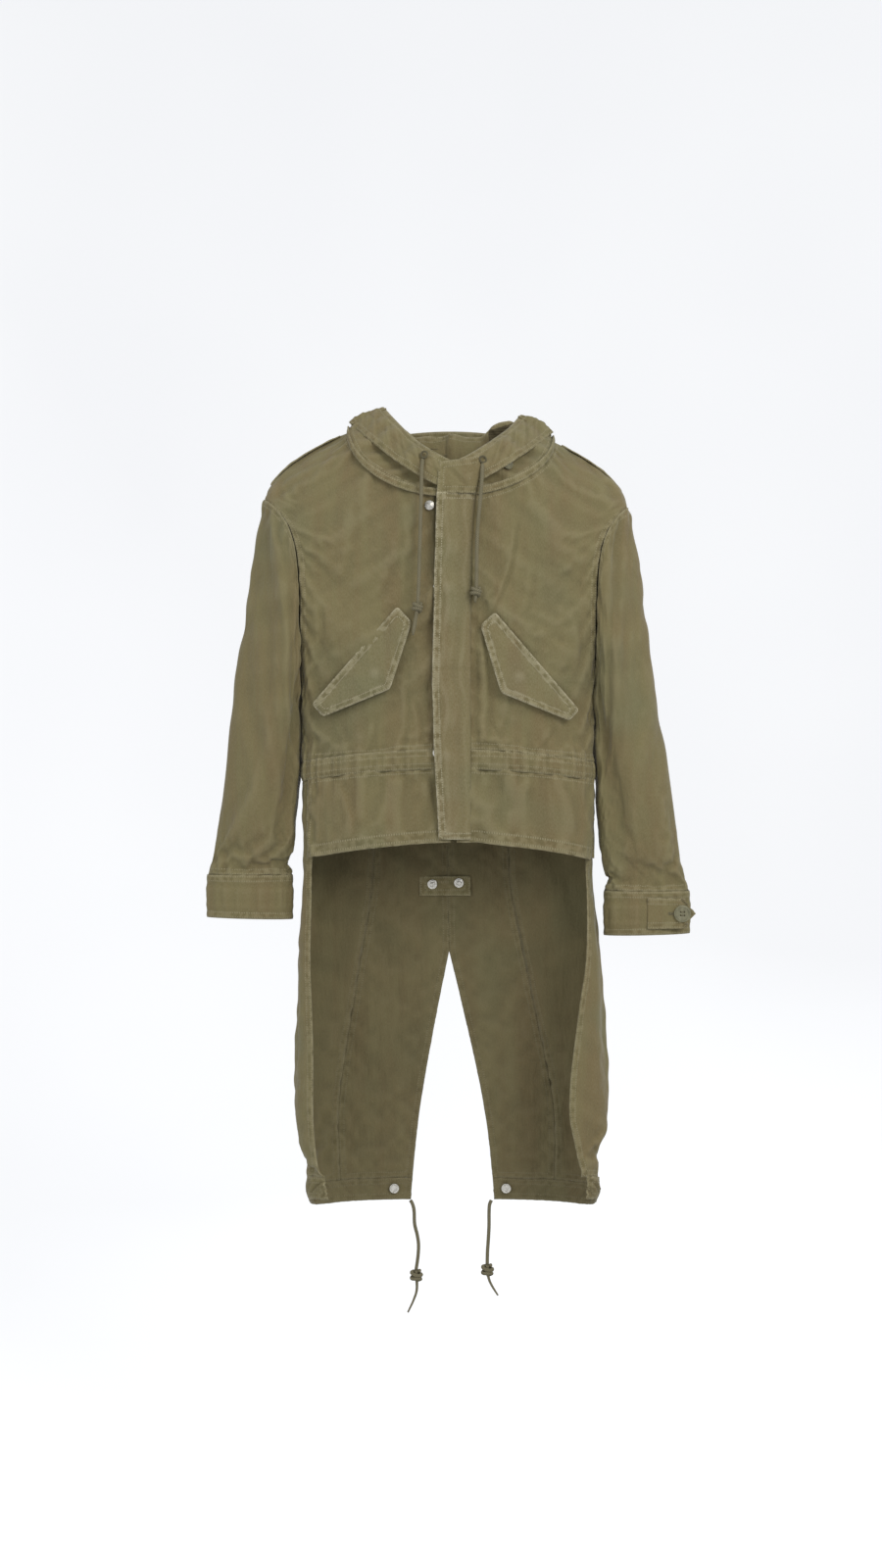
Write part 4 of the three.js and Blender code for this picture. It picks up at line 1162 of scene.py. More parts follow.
def sleeves():
    for side in SIDES:
        sign, name = side["sign"], side["name"]
        lean_in = np.array([sign * 0.975, 0.0, -0.22])
        blend = (f"arm_{name}", lean_in * 268.0, lean_in * 345.0)
        plan = next(p for p in pieces if p["name"] == f"sleeve_{name}_cloth")
        tube_cloth(f"sleeve_{name}_cloth", sleeve_surface(side), "coat", [f"sleeve_{name}"], sleeve_folds(side),
                   blend, plan=plan)

        def cuff(u, v, side=side):
            turn = 2 * math.pi * u
            swell = 1.0 + 1.4 * np.sin(math.pi * v) ** 0.6
            x = side["cuffX"] + (CUFF_HALF_WIDTH + swell) * np.cos(turn)
            y = -(CUFF_HALF_DEPTH + swell) * np.sin(turn)
            z = side["cuffZ"] - CUFF_HEIGHT * (1 - v) + 1.5 * np.cos(turn) * (1 - v)
            return np.stack([side["sign"] * x, y, z], axis=-1)

        def cuff_folds(info):
            return (0.7 * noise_line(info["left"], 16.0, 57) * np.sin(math.pi * info["v"])
                    + 0.5 * noise_line(info["bottom"], 20.0, 58))

        tube_cloth(f"cuff_{name}_cloth", cuff, f"arm_{name}", [f"cuff_{name}"], cuff_folds)


def tube_cloth(name, place, body, nodes, shape, blend=None, spacing=FINE_SPACING, plan=None):
    """A tube of cloth, open at both ends. Its seam runs down the line where u is 0."""
    u, v = np.meshgrid(np.linspace(0, 1, 33), np.linspace(0, 1, 25))
    left, _, bottom, _ = reaches(place(u, v))
    columns = int(np.clip(left[:, -1].max() / spacing, 24, 170))
    rows = int(np.clip(bottom[-1].max() / spacing, 8, 230)) + 1
    u, v = np.meshgrid(np.arange(columns + 1) / columns, np.linspace(0, 1, rows))
    base = place(u, v)
    left, right, bottom, top = reaches(base)
    seam = np.minimum(bottom, top)
    bulge = shape(dict(u=u, v=v, left=left, right=right, bottom=bottom, top=top, base=base))
    join = smooth(np.minimum(u, 1 - u) * columns / 6.0)
    bulge = bulge * join + (bulge[:, :1] + bulge[:, -1:]) / 2 * (1 - join)
    bulge = bulge + 0.5 * noise_line(left, 10.0, 11) * np.exp(-seam / 7.0) * np.minimum(1, seam / 1.2) * join
    normal = grid_normals(base)
    wrap = normal[:, 1:2] + normal[:, -2:-1]
    normal[:, 0] = normal[:, -1] = (wrap / np.linalg.norm(wrap, axis=-1, keepdims=True))[:, 0]
    facing = np.sign(((base - base.mean(axis=1, keepdims=True)) * normal).sum())
    normal = normal * facing
    points = base + normal * bulge[..., None]
    if plan and "settled" in plan:
        moved = settled_shift(plan, rows, columns + 1)
        points = points + moved
        bulge = bulge + (moved * normal).sum(-1)
    inner = points - normal * CLOTH
    count = rows * columns
    index = np.arange(count).reshape(rows, columns)
    after = np.roll(index, -1, axis=1)
    outer = np.stack([index[:-1], after[:-1], after[1:], index[1:]], axis=-1).reshape(-1, 4)
    low = np.stack([after[0], index[0], index[0] + count, after[0] + count], axis=-1)
    high = np.stack([index[-1], after[-1], after[-1] + count, index[-1] + count], axis=-1)
    if facing < 0:
        outer, low, high = outer[:, ::-1], low[:, ::-1], high[:, ::-1]
    faces = np.concatenate([outer, outer[:, ::-1] + count, low, high])

    def flat(grid):
        """A grid's values in one row, without the last column, which is the first again."""
        return grid[:, :-1].reshape(-1, *grid.shape[2:])

    cloth_uv = np.stack([flat(left) * MM, flat(bottom) * MM], axis=-1)
    seam_uv = np.stack([flat(seam) * MM, flat(left) * MM], axis=-1)
    uvs = {"cloth": np.tile(cloth_uv, (2, 1)), "seam": np.tile(seam_uv, (2, 1))}
    made = mesh_object(name, np.concatenate([flat(points), flat(inner)]), faces.tolist(), [OUTSIDE, INSIDE], uvs)
    dress(made, len(outer), len(outer), flat(ridge_of(bulge, closed=True)), body, nodes, "cotton", blend)
    area_of(points)


# ---- neck and hood ------------------------------------------------------------------------------------
def neck_spot(angle):
    """Round the neckline, in radians from the front centre, positive to the wearer's left."""
    spots = []
    for side in SIDES:
        turn = np.abs(angle)
        x = side["neckX"] * np.sin(turn)
        front = turn < math.pi / 2
        centre = np.where(front, NECK_FRONT_Z, NECK_BACK_Z)
        z = centre + (side["neckZ"] - centre) * (1 - np.abs(np.cos(turn)))
        depth = np.where(front, -depth_at(side, x, z, FRONT_DEPTH), depth_at(side, x, z, BACK_DEPTH))
        spots.append(np.stack([side["sign"] * x, depth, z], axis=-1))
    return np.where((angle < 0)[..., None], spots[0], spots[1])


def neck_out(angle):
    return np.stack([np.sin(angle), -np.cos(angle), 0 * angle], axis=-1)


def neck_point(angle, rise, w):
    return neck_spot(angle) + neck_out(angle) * np.asarray(w)[..., None] + np.stack(
        [0 * angle, 0 * angle, rise + 0 * angle], axis=-1)


# The face edge of the hood, folded down: its upper and lower lines from the front centre to the outer corner.
BRIMS = {
    "right": (((7, -70, -43), (-16, -69, -31), (-45, -52, -9), (-72, -26, 22), (-92, 6, 50)),
              ((3, -73, -84), (-30, -75, -70), (-72, -66, -42), (-112, -38, -6), (-142, 2, 27))),
    "left": (((7, -70, -43), (28, -68, -33), (55, -50, -13), (84, -22, 13), (104, 6, 39)),
             ((11, -73, -84), (42, -75, -72), (84, -66, -46), (122, -38, -16), (151, 2, 13))),
}


def along_line(points, share):
    line = smooth_line(points, 1.5)
    at = np.clip(share, 0, 1) * (len(line) - 1)
    return np.stack([np.interp(at, np.arange(len(line)), line[:, k]) for k in range(3)], axis=-1)


# The height of the hood's back edge, by distance from the middle.
HOOD_BACK_TOP = ((0, 24), (28, 18), (48, 17), (65, 32), (90, 41), (110, 34), (148, 16))


def hood():
    for side in SIDES:
        sign, name = side["sign"], side["name"]
        high, low = BRIMS[name]

        def brim(u, v, high=high, low=low):
            first, second = along_line(low, u), along_line(high, u)
            return first * (1 - v)[..., None] + second * v[..., None]

        def brim_folds(info, sign=sign):
            roll = 4.5 * np.sin(math.pi * info["v"]) ** 0.8 * smooth(info["u"] * 4 + 0.2)
            tunnel = -0.9 * np.exp(-((info["top"] - 24.0) / 1.4) ** 2)
            bow = np.sin(math.pi * info["v"])
            waves = 2.2 * noise_line(info["left"] + 0.5 * info["bottom"], 44.0, 100 + sign) * bow
            crumple = 1.0 * noise_line(info["left"] - 0.9 * info["bottom"], 19.0, 104 + sign) * bow
            return roll + tunnel + waves + crumple

        cloth(f"hood_brim_{name}_cloth", brim, "coat", [f"hood_brim_{name}"], outward=sign, simulate=False,
              spacing=2.2, shape=brim_folds, pucker=0.45, thick=2.4, seams="tb")

        def under(u, v, low=low, sign=sign):
            """The side of the hood, from the neck seam up behind the folded edge."""
            turn = sign * (0.10 + (1.62 - 0.10) * u)
            foot = neck_point(turn, 4.0, 2.0)
            head = along_line(low, 0.03 + 0.97 * u) - neck_out(turn) * 9.0
            head[..., 2] += 5.0
            spot = foot * (1 - v)[..., None] + head * v[..., None]
            sag = np.sin(math.pi * v) * np.sin(math.pi * u)
            return spot - neck_out(turn) * (9.0 * sag)[..., None]

        cloth(f"hood_side_{name}_cloth", under, "coat", [f"hood_side_{name}"], outward=sign, simulate=False,
              spacing=2.8, seams="b", pucker=0.5,
              shape=lambda i: 2.2 * noise_line(i["left"] + 0.8 * i["bottom"], 36.0, 110) * np.sin(math.pi * i["v"]))

        def wing(u, v, high=high, low=low, sign=sign):
            """The hood over the shoulder, from the end of the folded edge back to the hanging crown."""
            start = np.asarray(low[-1], float) * (1 - v)[..., None] + np.asarray(high[-1], float) * v[..., None]
            start = start + np.array([-3.5 * sign, -8.0, -3.0])
            rim = np.array([4 + sign * 108.0, 92.0, 2.0])
            crest = np.array([4 + sign * 84.0, 74.0, 34.0])
            end = rim * (1 - v)[..., None] + crest * v[..., None]
            spot = start * (1 - u)[..., None] + end * u[..., None]
            arch = np.sin(math.pi * u)
            spot[..., 2] -= 7 * arch
            spot[..., 0] += sign * 9 * arch
            return spot

        cloth(f"hood_wing_{name}_cloth", wing, "coat", [], outward=sign, simulate=False, spacing=3.0, seams="tb",
              pucker=0.5, thick=2.0,
              shape=lambda i: (5.0 * np.sin(math.pi * i["v"]) + 1.8 * noise_line(i["left"], 40.0, 112))
              * smooth(i["u"] * 2.5))

    def back(u, v):
        """The hood above the back of the neck, that shows through the front opening."""
        turn = 1.78 + (2 * math.pi - 3.56) * u
        angle = np.where(turn > math.pi, turn - 2 * math.pi, turn)
        centre = np.abs(np.cos(turn))
        spot = neck_point(angle, 0.0, -5.5 + 5.5 * v)
        bottom = spot[..., 2] + 3.0 - 21.0 * smooth(centre * 1.6)
        top = np.interp(np.abs(spot[..., 0]), *zip(*HOOD_BACK_TOP))
        spot[..., 2] = bottom + (top - bottom) * v
        spot[..., 1] += 9 * v * v * centre
        return spot

    def back_folds(info):
        seam = -1.4 * np.exp(-((info["u"] - 0.487) * 500 / 2.2) ** 2)
        waves = 3.0 * noise_line(info["left"], 62.0, 120) * info["v"] ** 1.5
        return seam + waves

    cloth("hood_back_cloth", back, "coat", ["hood_back"], outward=-1, simulate=False, spacing=2.6, seams="bt",
          shape=back_folds, pucker=0.5, materials=(OUTSIDE, OUTSIDE))

    def band(u, v):
        angle = -math.pi + 2 * math.pi * ((u + 0.5) % 1.0)
        return neck_point(angle, -2.0 + 11.0 * v, 3.4 - 1.2 * v)

    tube_cloth("neck_band_cloth", band, "coat", ["neck_band"],
               lambda i: 0.8 * np.sin(math.pi * i["v"]) + 0.35 * np.abs(noise_line(i["left"], 7.0, 130)),
               spacing=2.2)
    hood_bag()


def hood_bag():
    """The crown of the hood, hanging empty down the back, open at its top."""
    top, length, deep = 20.0, 280.0, 26.0

    def pouch(u, v):
        turn = 2 * math.pi * u
        drop = np.clip(1 - v, 0, 0.9985)
        wide = (112 - 14 * drop) * np.sqrt(1 - drop ** 3)
        depth = deep * np.sqrt(1 - drop ** 4)
        middle = 71 + deep + 13 * smooth(drop * 3)
        sag = 9.0 * np.cos(turn) * np.exp(-drop * 6) * np.abs(np.cos(turn))
        return np.stack([4 + wide * np.sin(turn), middle + depth * np.cos(turn), top - length * drop - sag], axis=-1)

    def folds(info):
        turn = 2 * math.pi * info["u"]
        hold = smooth(info["bottom"] / 60.0)
        seam = -1.6 * np.exp(-((np.minimum(info["u"], 1 - info["u"])) * 450 / 2.4) ** 2)
        rim = 1.4 * np.exp(-((info["top"] - 14) / 9.0) ** 2) - 0.9 * np.exp(-((info["top"] - 27) / 1.4) ** 2)
        drape = 3.4 * noise_line(info["left"] * (0.4 + 0.6 * info["v"]), 70.0, 141) * smooth(info["top"] / 40)
        cross = 2.6 * noise_line(info["bottom"] + 14 * np.cos(turn), 76.0, 142) * smooth(info["top"] / 60)
        return (drape + cross) * hold + seam * hold + rim

    tube_cloth("hood_bag_cloth", pouch, "coat", ["hood_bag"], folds,
               ("hood_crown", (4.0, 68.0, 19.0), (4.0, 68.0, -45.0)), spacing=3.4)


# ---- front --------------------------------------------------------------------------------------------
# The storm flap's edges: height, x of the free edge, x of the sewn edge.
FLAP_EDGES = ((-43, -13.0, 37.0), (-57, -14.5, 41.0), (-118, -16.6, 35.0), (-211, -19.0, 31.5),
              (-352, -22.0, 31.0), (-440, -19.4, 31.0), (-566, -12.5, 32.0))
FLAP_FOOT_Z, FLAP_SEAM_Z, FLAP_HEAD_Z = -567.0, -88.0, -43.5
FLAP_SNAP_SPOTS = ((-3, -219), (-3, -450), (-2, -556))


def front_y(x, z):
    return -np.where(x < 0, depth_at(RIGHT, np.abs(x), z, FRONT_DEPTH), depth_at(LEFT, np.abs(x), z, FRONT_DEPTH))


def flap_edges(z):
    levels, free, sewn = zip(*FLAP_EDGES)
    return np.interp(-z, np.negative(levels), free), np.interp(-z, np.negative(levels), sewn)


def storm_flap():
    def main(u, v):
        z = FLAP_FOOT_Z + (FLAP_SEAM_Z + 1.5 - FLAP_FOOT_Z) * v
        first, last = flap_edges(z)
        x = first + (last - first) * u
        y = front_y(np.minimum(x, 40), np.minimum(z, -92.0)) - 6.4 - 2.8 * (1 - u) ** 3 + 3.4 * u ** 6
        return np.stack([x, y, z], axis=-1)

    def folds(info):
        snaps = sum(1.1 * np.exp(-(((info["base"][..., 0] - x) ** 2 + (info["base"][..., 2] - z) ** 2) / 60.0))
                    for x, z in FLAP_SNAP_SPOTS)
        bar = -0.8 * np.exp(-((info["base"][..., 2] + 331.0) / 1.6) ** 2)
        waves = 1.0 * noise_line(info["bottom"], 78.0, 150) * np.sin(math.pi * info["u"])
        long = 0.9 * noise_line(info["left"] + 4 * noise_line(info["bottom"], 120.0, 152), 24.0, 151)
        edge = 1.3 * noise_line(info["bottom"], 130.0, 153) * (1 - info["u"]) ** 2
        return snaps + bar + (waves + long) * np.sin(math.pi * info["u"]) ** 0.5 + edge

    cloth("storm_flap_cloth", main, "fly", ["storm_flap"], outward=1, simulate=False, spacing=2.6, seams="lbt",
          shape=folds, pucker=0.5, thick=2.2, materials=(FLAPS, INSIDE))

    def head(u, v):
        z = FLAP_SEAM_Z + (FLAP_HEAD_Z - FLAP_SEAM_Z) * v
        first, last = flap_edges(z)
        z = z + 8.0 * v * u ** 1.5
        x = first + (last + 6.0 * v - first) * u
        y = -77.4 - 1.5 * np.sin(math.pi * v) + 3.4 * v + 1.2 * u ** 3
        return np.stack([x, y, z], axis=-1)

    cloth("storm_flap_head_cloth", head, "fly", [], outward=1, simulate=False, spacing=2.2, seams="ltb",
          shape=lambda i: 0.9 * noise_line(i["left"] + i["bottom"], 21.0, 155) * np.sin(math.pi * i["u"]),
          pucker=0.5, thick=2.2)


# Corners in x and z: the sewn edge first, from the top inner corner to the bottom outer one.
FLAP_CORNERS = {
    "right": ((-70.6, -244), (-190, -378.6), (-174.4, -396.7), (-80.2, -358.7), (-50.4, -266.6)),
    "left": ((64.7, -251.7), (182.7, -386.9), (168.6, -402.2), (72.8, -364.1), (44.4, -270.7)),
}
FLAP_SNAPS = {"right": (-102.0, -337.0), "left": (99.0, -342.0)}


def rounded_outline(corners, radius, step):
    """A closed outline through corners, its corners rounded, with points a step apart."""
    p = np.asarray(corners, float)
    points = []
    for i, corner in enumerate(p):
        before, after = p[i - 1] - corner, p[(i + 1) % len(p)] - corner
        a = corner + before / np.linalg.norm(before) * radius
        b = corner + after / np.linalg.norm(after) * radius
        for t in (0, 0.25, 0.5, 0.75, 1):
            points.append(a * (1 - t) ** 2 + 2 * corner * t * (1 - t) + b * t ** 2)
    loop = np.vstack([points, points[:1]])
    reach = np.concatenate([[0], np.cumsum(np.linalg.norm(np.diff(loop, axis=0), axis=1))])
    at = np.arange(0, reach[-1], reach[-1] / int(reach[-1] / step))
    return np.stack([np.interp(at, reach, loop[:, k]) for k in range(2)], axis=1), at


def pocket_flaps():
    for side in SIDES:
        name, sign = side["name"], side["sign"]
        outline, travel = rounded_outline(FLAP_CORNERS[name], 5.0, 2.4)
        middle = outline.mean(axis=0)
        half = np.linalg.norm(outline - middle, axis=1).min()
        insets = np.concatenate([np.arange(0, 16, 1.6), np.linspace(16, half, 9)[1:]]) / half
        sewn = np.asarray(FLAP_CORNERS[name][:2], float)
        edge = (sewn[1] - sewn[0]) / np.linalg.norm(sewn[1] - sewn[0])
        points, seams, cloths, ridges = [], [], [], []
        for share in insets:
            ring = outline + (middle - outline) * share * 0.999
            for spot, run, rim in zip(ring, travel, outline):
                off = np.linalg.norm(spot - rim) if share > 0 else 0.0
                gap = np.min(np.linalg.norm(outline - spot, axis=1))
                off = min(off, gap * 1.02)
                from_sewn = abs(edge[0] * (spot - sewn[0])[1] - edge[1] * (spot - sewn[0])[0])
                lift = 2.0 + 3.4 * smooth(from_sewn / 60.0)
                rope = 0.55 * float(noise_line(np.array(run), 9.0, 160)) * math.exp(-off / 5.0)
                band = -0.7 * math.exp(-((off - 9.5) / 1.5) ** 2)
                x, z = spot
                snap = 1.5 * math.exp(-math.dist(spot, FLAP_SNAPS[name]) ** 2 / 52.0)
                soft = (0.8 * float(noise_line(np.array(x + z), 66.0, 161))
                        + 0.5 * float(noise_line(np.array(x - 0.7 * z), 48.0, 162)))
                out = 84 - 0.125 * abs(x) - 4.0 + lift + rope + band + snap + soft * smooth(off / 12)
                points.append((x, -out, z))
                seams.append((off * MM, run * MM))
                cloths.append((x * MM, z * MM))
                # These ridge values colour the flap: the stitched groove (band) gets painted shade, and rope and snap
                # crests are rubbed pale.
                ridges.append(0.5 + 0.4 * (rope + snap + band))
        build_plate(f"pocket_flap_{name}_cloth", points, len(outline), len(insets), seams, cloths, ridges,
                    (0, -1, 0), 2.2, f"pocket_lid_{name}", [f"pocket_flap_{name}"],
                    (0.125, 0.17), (FLAPS, INSIDE))

        def bag(u, v, side=side):
            z = -425 + 163 * v
            inner = 62 + 22 * v
            x = inner + (160 - inner) * u
            y = -(depth_at(side, x, z, FRONT_DEPTH) - 16.0)
            return np.stack([side["sign"] * x, y, z], axis=-1)

        cloth(f"pocket_bag_{name}_cloth", bag, "coat", [f"pocket_bag_{name}"], outward=sign, simulate=False,
              spacing=5.0, thick=1.2, materials=(INSIDE, INSIDE), slot="lining",
              shape=lambda i: 1.2 * noise_line(i["left"] + i["bottom"], 50.0, 170))


def build_plate(name, points, around, rings, seams, cloths, ridges, out, thick, body, nodes, flat, materials):
    """A plate from rings of points, its edge first, its middle last. Its back face is thick behind its front."""
    front = np.asarray(points, float)
    normal = np.asarray(out, float)
    back = front - normal * thick
    back[:around] += normal * 0.4
    front[:around] -= normal * 0.4
    index = np.arange(around * rings).reshape(rings, around)
    after = np.roll(index, -1, axis=1)
    quads = np.stack([index[:-1], after[:-1], after[1:], index[1:]], axis=-1).reshape(-1, 4)
    a, b, c = (front[quads[0][k]] for k in range(3))
    count = len(front)
    rim = np.stack([after[0], index[0], index[0] + count, after[0] + count], axis=-1)
    cap = index[-1].tolist()
    if np.cross(b - a, c - a).dot(normal) < 0:
        quads, rim, cap = quads[:, ::-1], rim[:, ::-1], cap[::-1]
    faces = (quads.tolist() + [cap] + (quads[:, ::-1] + count).tolist() + [[i + count for i in cap[::-1]]]
             + rim.tolist())
    uvs = {"cloth": np.tile(cloths, (2, 1)), "seam": np.tile(seams, (2, 1))}
    made = mesh_object(name, np.concatenate([front, back]), faces, list(materials), uvs)
    dress(made, len(quads) + 1, len(quads) + 1, np.clip(ridges, 0, 1), body, nodes, "cotton")
    area = float(sum(p.area for p in made.data.polygons)) / 2


# ---- straps, tabs and tapes ---------------------------------------------------------------------------
def strips():
    for side in SIDES:
        sign, name = side["sign"], side["name"]
        base = -1 if name == "left" else 1
        sewn, point = (282.0, 350.0) if name == "left" else (345.0, 285.0)

        def tab(u, v, side=side, sign=sign, base=base, sewn=sewn, point=point):
            """The cuff's tab, from where it is sewn to its pointed end."""
            reach = np.clip(1 - np.abs(2 * v - 1) * np.clip((u - 0.78) / 0.22, 0, 1) * 0.30, 0, 1)
            x = sewn + (point - sewn) * u * reach
            z = side["cuffZ"] - CUFF_HEIGHT / 2 + 44 * (v - 0.5) * (1 - 0.05 * u)
            y = base * (CUFF_HALF_DEPTH + 4.6) * np.ones_like(u)
            over = np.clip((np.abs(x - side["cuffX"]) - 20) / 45, 0, 1)
            return np.stack([sign * x, y - base * 4.0 * over ** 2 * (x < side["cuffX"]), z], axis=-1)

        cloth(f"cuff_tab_{name}_cloth", tab, f"cuff_fastening_{name}", [f"cuff_tab_{name}"],
              outward=1 if (base < 0) == (sign * (point - sewn) > 0) else -1, simulate=False, spacing=1.8,
              seams="rbt", pucker=0.35, thick=2.2,
              shape=lambda i: 0.5 * noise_line(i["left"], 30.0, 180) * np.sin(math.pi * i["v"]))

        def strap(u, v, side=side, sign=sign):
            """A narrow strap on the shoulder seam, sewn into the armhole."""
            x = (side["tipX"] - 8) + (side["neckX"] + 14 - side["tipX"] + 8) * u
            y = (2 * v - 1) * (14.5 - 2 * u)
            ridge = ridge_z(side, x)
            across = (1 - (x / full_width(side, ridge)) ** BOXINESS) ** (1 / BOXINESS)
            share = np.abs(y) / across / np.where(y < 0, FRONT_DEPTH, BACK_DEPTH)
            z = ridge + 1.4 - SHOULDER_ROUND * (1 - np.sqrt(1 - share ** 2))
            return np.stack([sign * x, y, z], axis=-1)

        cloth(f"shoulder_strap_{name}_cloth", strap, f"shoulder_loop_{name}", [f"shoulder_strap_{name}"],
              outward=-sign, simulate=False, spacing=2.2, pucker=0.3, thick=1.6,
              shape=lambda i: 0.5 * noise_line(i["left"], 34.0, 182) * np.sin(math.pi * i["v"]))

        def tape(u, v, sign=sign):
            z = -563 + 467 * v
            x = ZIP_X + sign * (1.4 + 13 * u)
            return np.stack([x, front_y(x, np.minimum(z, -92.0)) + 4.4, z], axis=-1)

        cloth(f"zip_tape_{name}_cloth", tape, "coat", [f"zip_tape_{name}"], outward=sign, simulate=False,
              spacing=3.4, thick=0.9, seams="", pucker=0, materials=(INSIDE, INSIDE), slot="lining")

    def patch(u, v):
        x = -41.5 + 75 * u
        z = -654.4 + 28.8 * v
        share = np.abs(x - 1) / 210
        return np.stack([x, BACK_DEPTH * (1 - share ** 3) ** (1 / 3) - 5.4 + 0 * u, z], axis=-1)

    cloth("tail_tab_cloth", patch, "coat", ["tail_tab"], simulate=False, spacing=1.8,
          pucker=0.3, thick=2.2, materials=(OUTSIDE, OUTSIDE),
          shape=lambda i: 0.7 * noise_line(i["left"] + i["bottom"], 26.0, 184) * np.sin(math.pi * i["v"]))

    def webbing(u, v):
        x = 60 + 34 * u
        z = -8 + 30 * v + 12 * u * v
        y = 33 + 6 * u + 5 * np.sin(math.pi * v)
        return np.stack([x, y, z], axis=-1)

    cloth("hood_strap_webbing", webbing, "coat", ["hood_strap"], outward=1, simulate=False, spacing=2.0,
          thick=1.8, seams="", pucker=0, slot="webbing", materials=(WEBBING, WEBBING),
          shape=lambda i: 1.2 * noise_line(i["left"] + i["bottom"], 24.0, 186))


# ---- snaps, buttons and the zip -----------------------------------------------------------------------
def only(thing):
    for each in bpy.context.selected_objects:
        each.select_set(False)
    thing.select_set(True)
    bpy.context.view_layer.objects.active = thing


def add(primitive, name, **settings):
    """A new primitive, selected alone."""
    bpy.ops.object.select_all(action="DESELECT")
    primitive(**settings)
    made = bpy.context.object
    made.name = made.data.name = name
    return made


def add_block(name, middle, size):
    return add(bpy.ops.mesh.primitive_cube_add, name, size=1, location=Vector(middle) * MM,
               scale=[length * MM for length in size])


def settle(thing, material, body, slot, nodes, bevel=0.0, segments=2):
    """Rounds the edges, fixes the piece in place and fastens it to its body."""
    only(thing)
    if bevel:
        rounding = thing.modifiers.new("rounding", "BEVEL")
        rounding.width = bevel * MM
        rounding.segments = segments
        rounding.limit_method = "ANGLE"
        bpy.ops.object.modifier_apply(modifier=rounding.name)
    bpy.ops.object.transform_apply(location=True, rotation=True, scale=True)
    bpy.ops.object.shade_smooth_by_angle(angle=math.radians(40))
    thing.data.materials.clear()
    thing.data.materials.append(material)
    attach(thing, body)
    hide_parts(*nodes)
    return thing


def disc(name, spot, facing, radius, height, steps, sides=28):
    """A disc whose face is shaped by steps of (inset, push) in millimetres, standing on a spot."""
    facing = Vector(facing).normalized()
    middle = Vector(spot) * MM + facing * height * MM / 2
    made = add(bpy.ops.mesh.primitive_cylinder_add, name, vertices=sides, radius=radius * MM, depth=height * MM,
               location=middle, rotation=facing.to_track_quat("Z", "Y").to_euler())
    for face in made.data.polygons:
        face.select = face.normal.z > 0.9
    bpy.ops.object.mode_set(mode="EDIT")
    bpy.ops.mesh.select_mode(type="FACE")
    bpy.ops.object.mode_set(mode="OBJECT")
    for face in made.data.polygons:
        face.select = face.normal.z > 0.9
    bpy.ops.object.mode_set(mode="EDIT")
    for inset, push in steps:
        if inset:
            bpy.ops.mesh.inset(thickness=inset * MM, depth=0)
        if push:
            bpy.ops.mesh.extrude_region_move(TRANSFORM_OT_translate={"value": facing * push * MM})
    bpy.ops.object.mode_set(mode="OBJECT")
    return made


def sewing(name, start, end, bow, radius, body):
    """A short thread between two points, its middle bowed out."""
    line = smooth_line([start, (np.asarray(start) + end) / 2 + np.array([0, bow, 0]), end], 0.8)
    made = tube(name, line, radius, CORD, 6)
    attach(made, body)


STUD_STEPS = ((1.6, 0.5), (2.0, -0.7), (0.5, 2.4), (1.2, 0.6))
SOCKET_STEPS = ((1.3, 0.7), (1.2, 0.0), (0.4, -1.8))


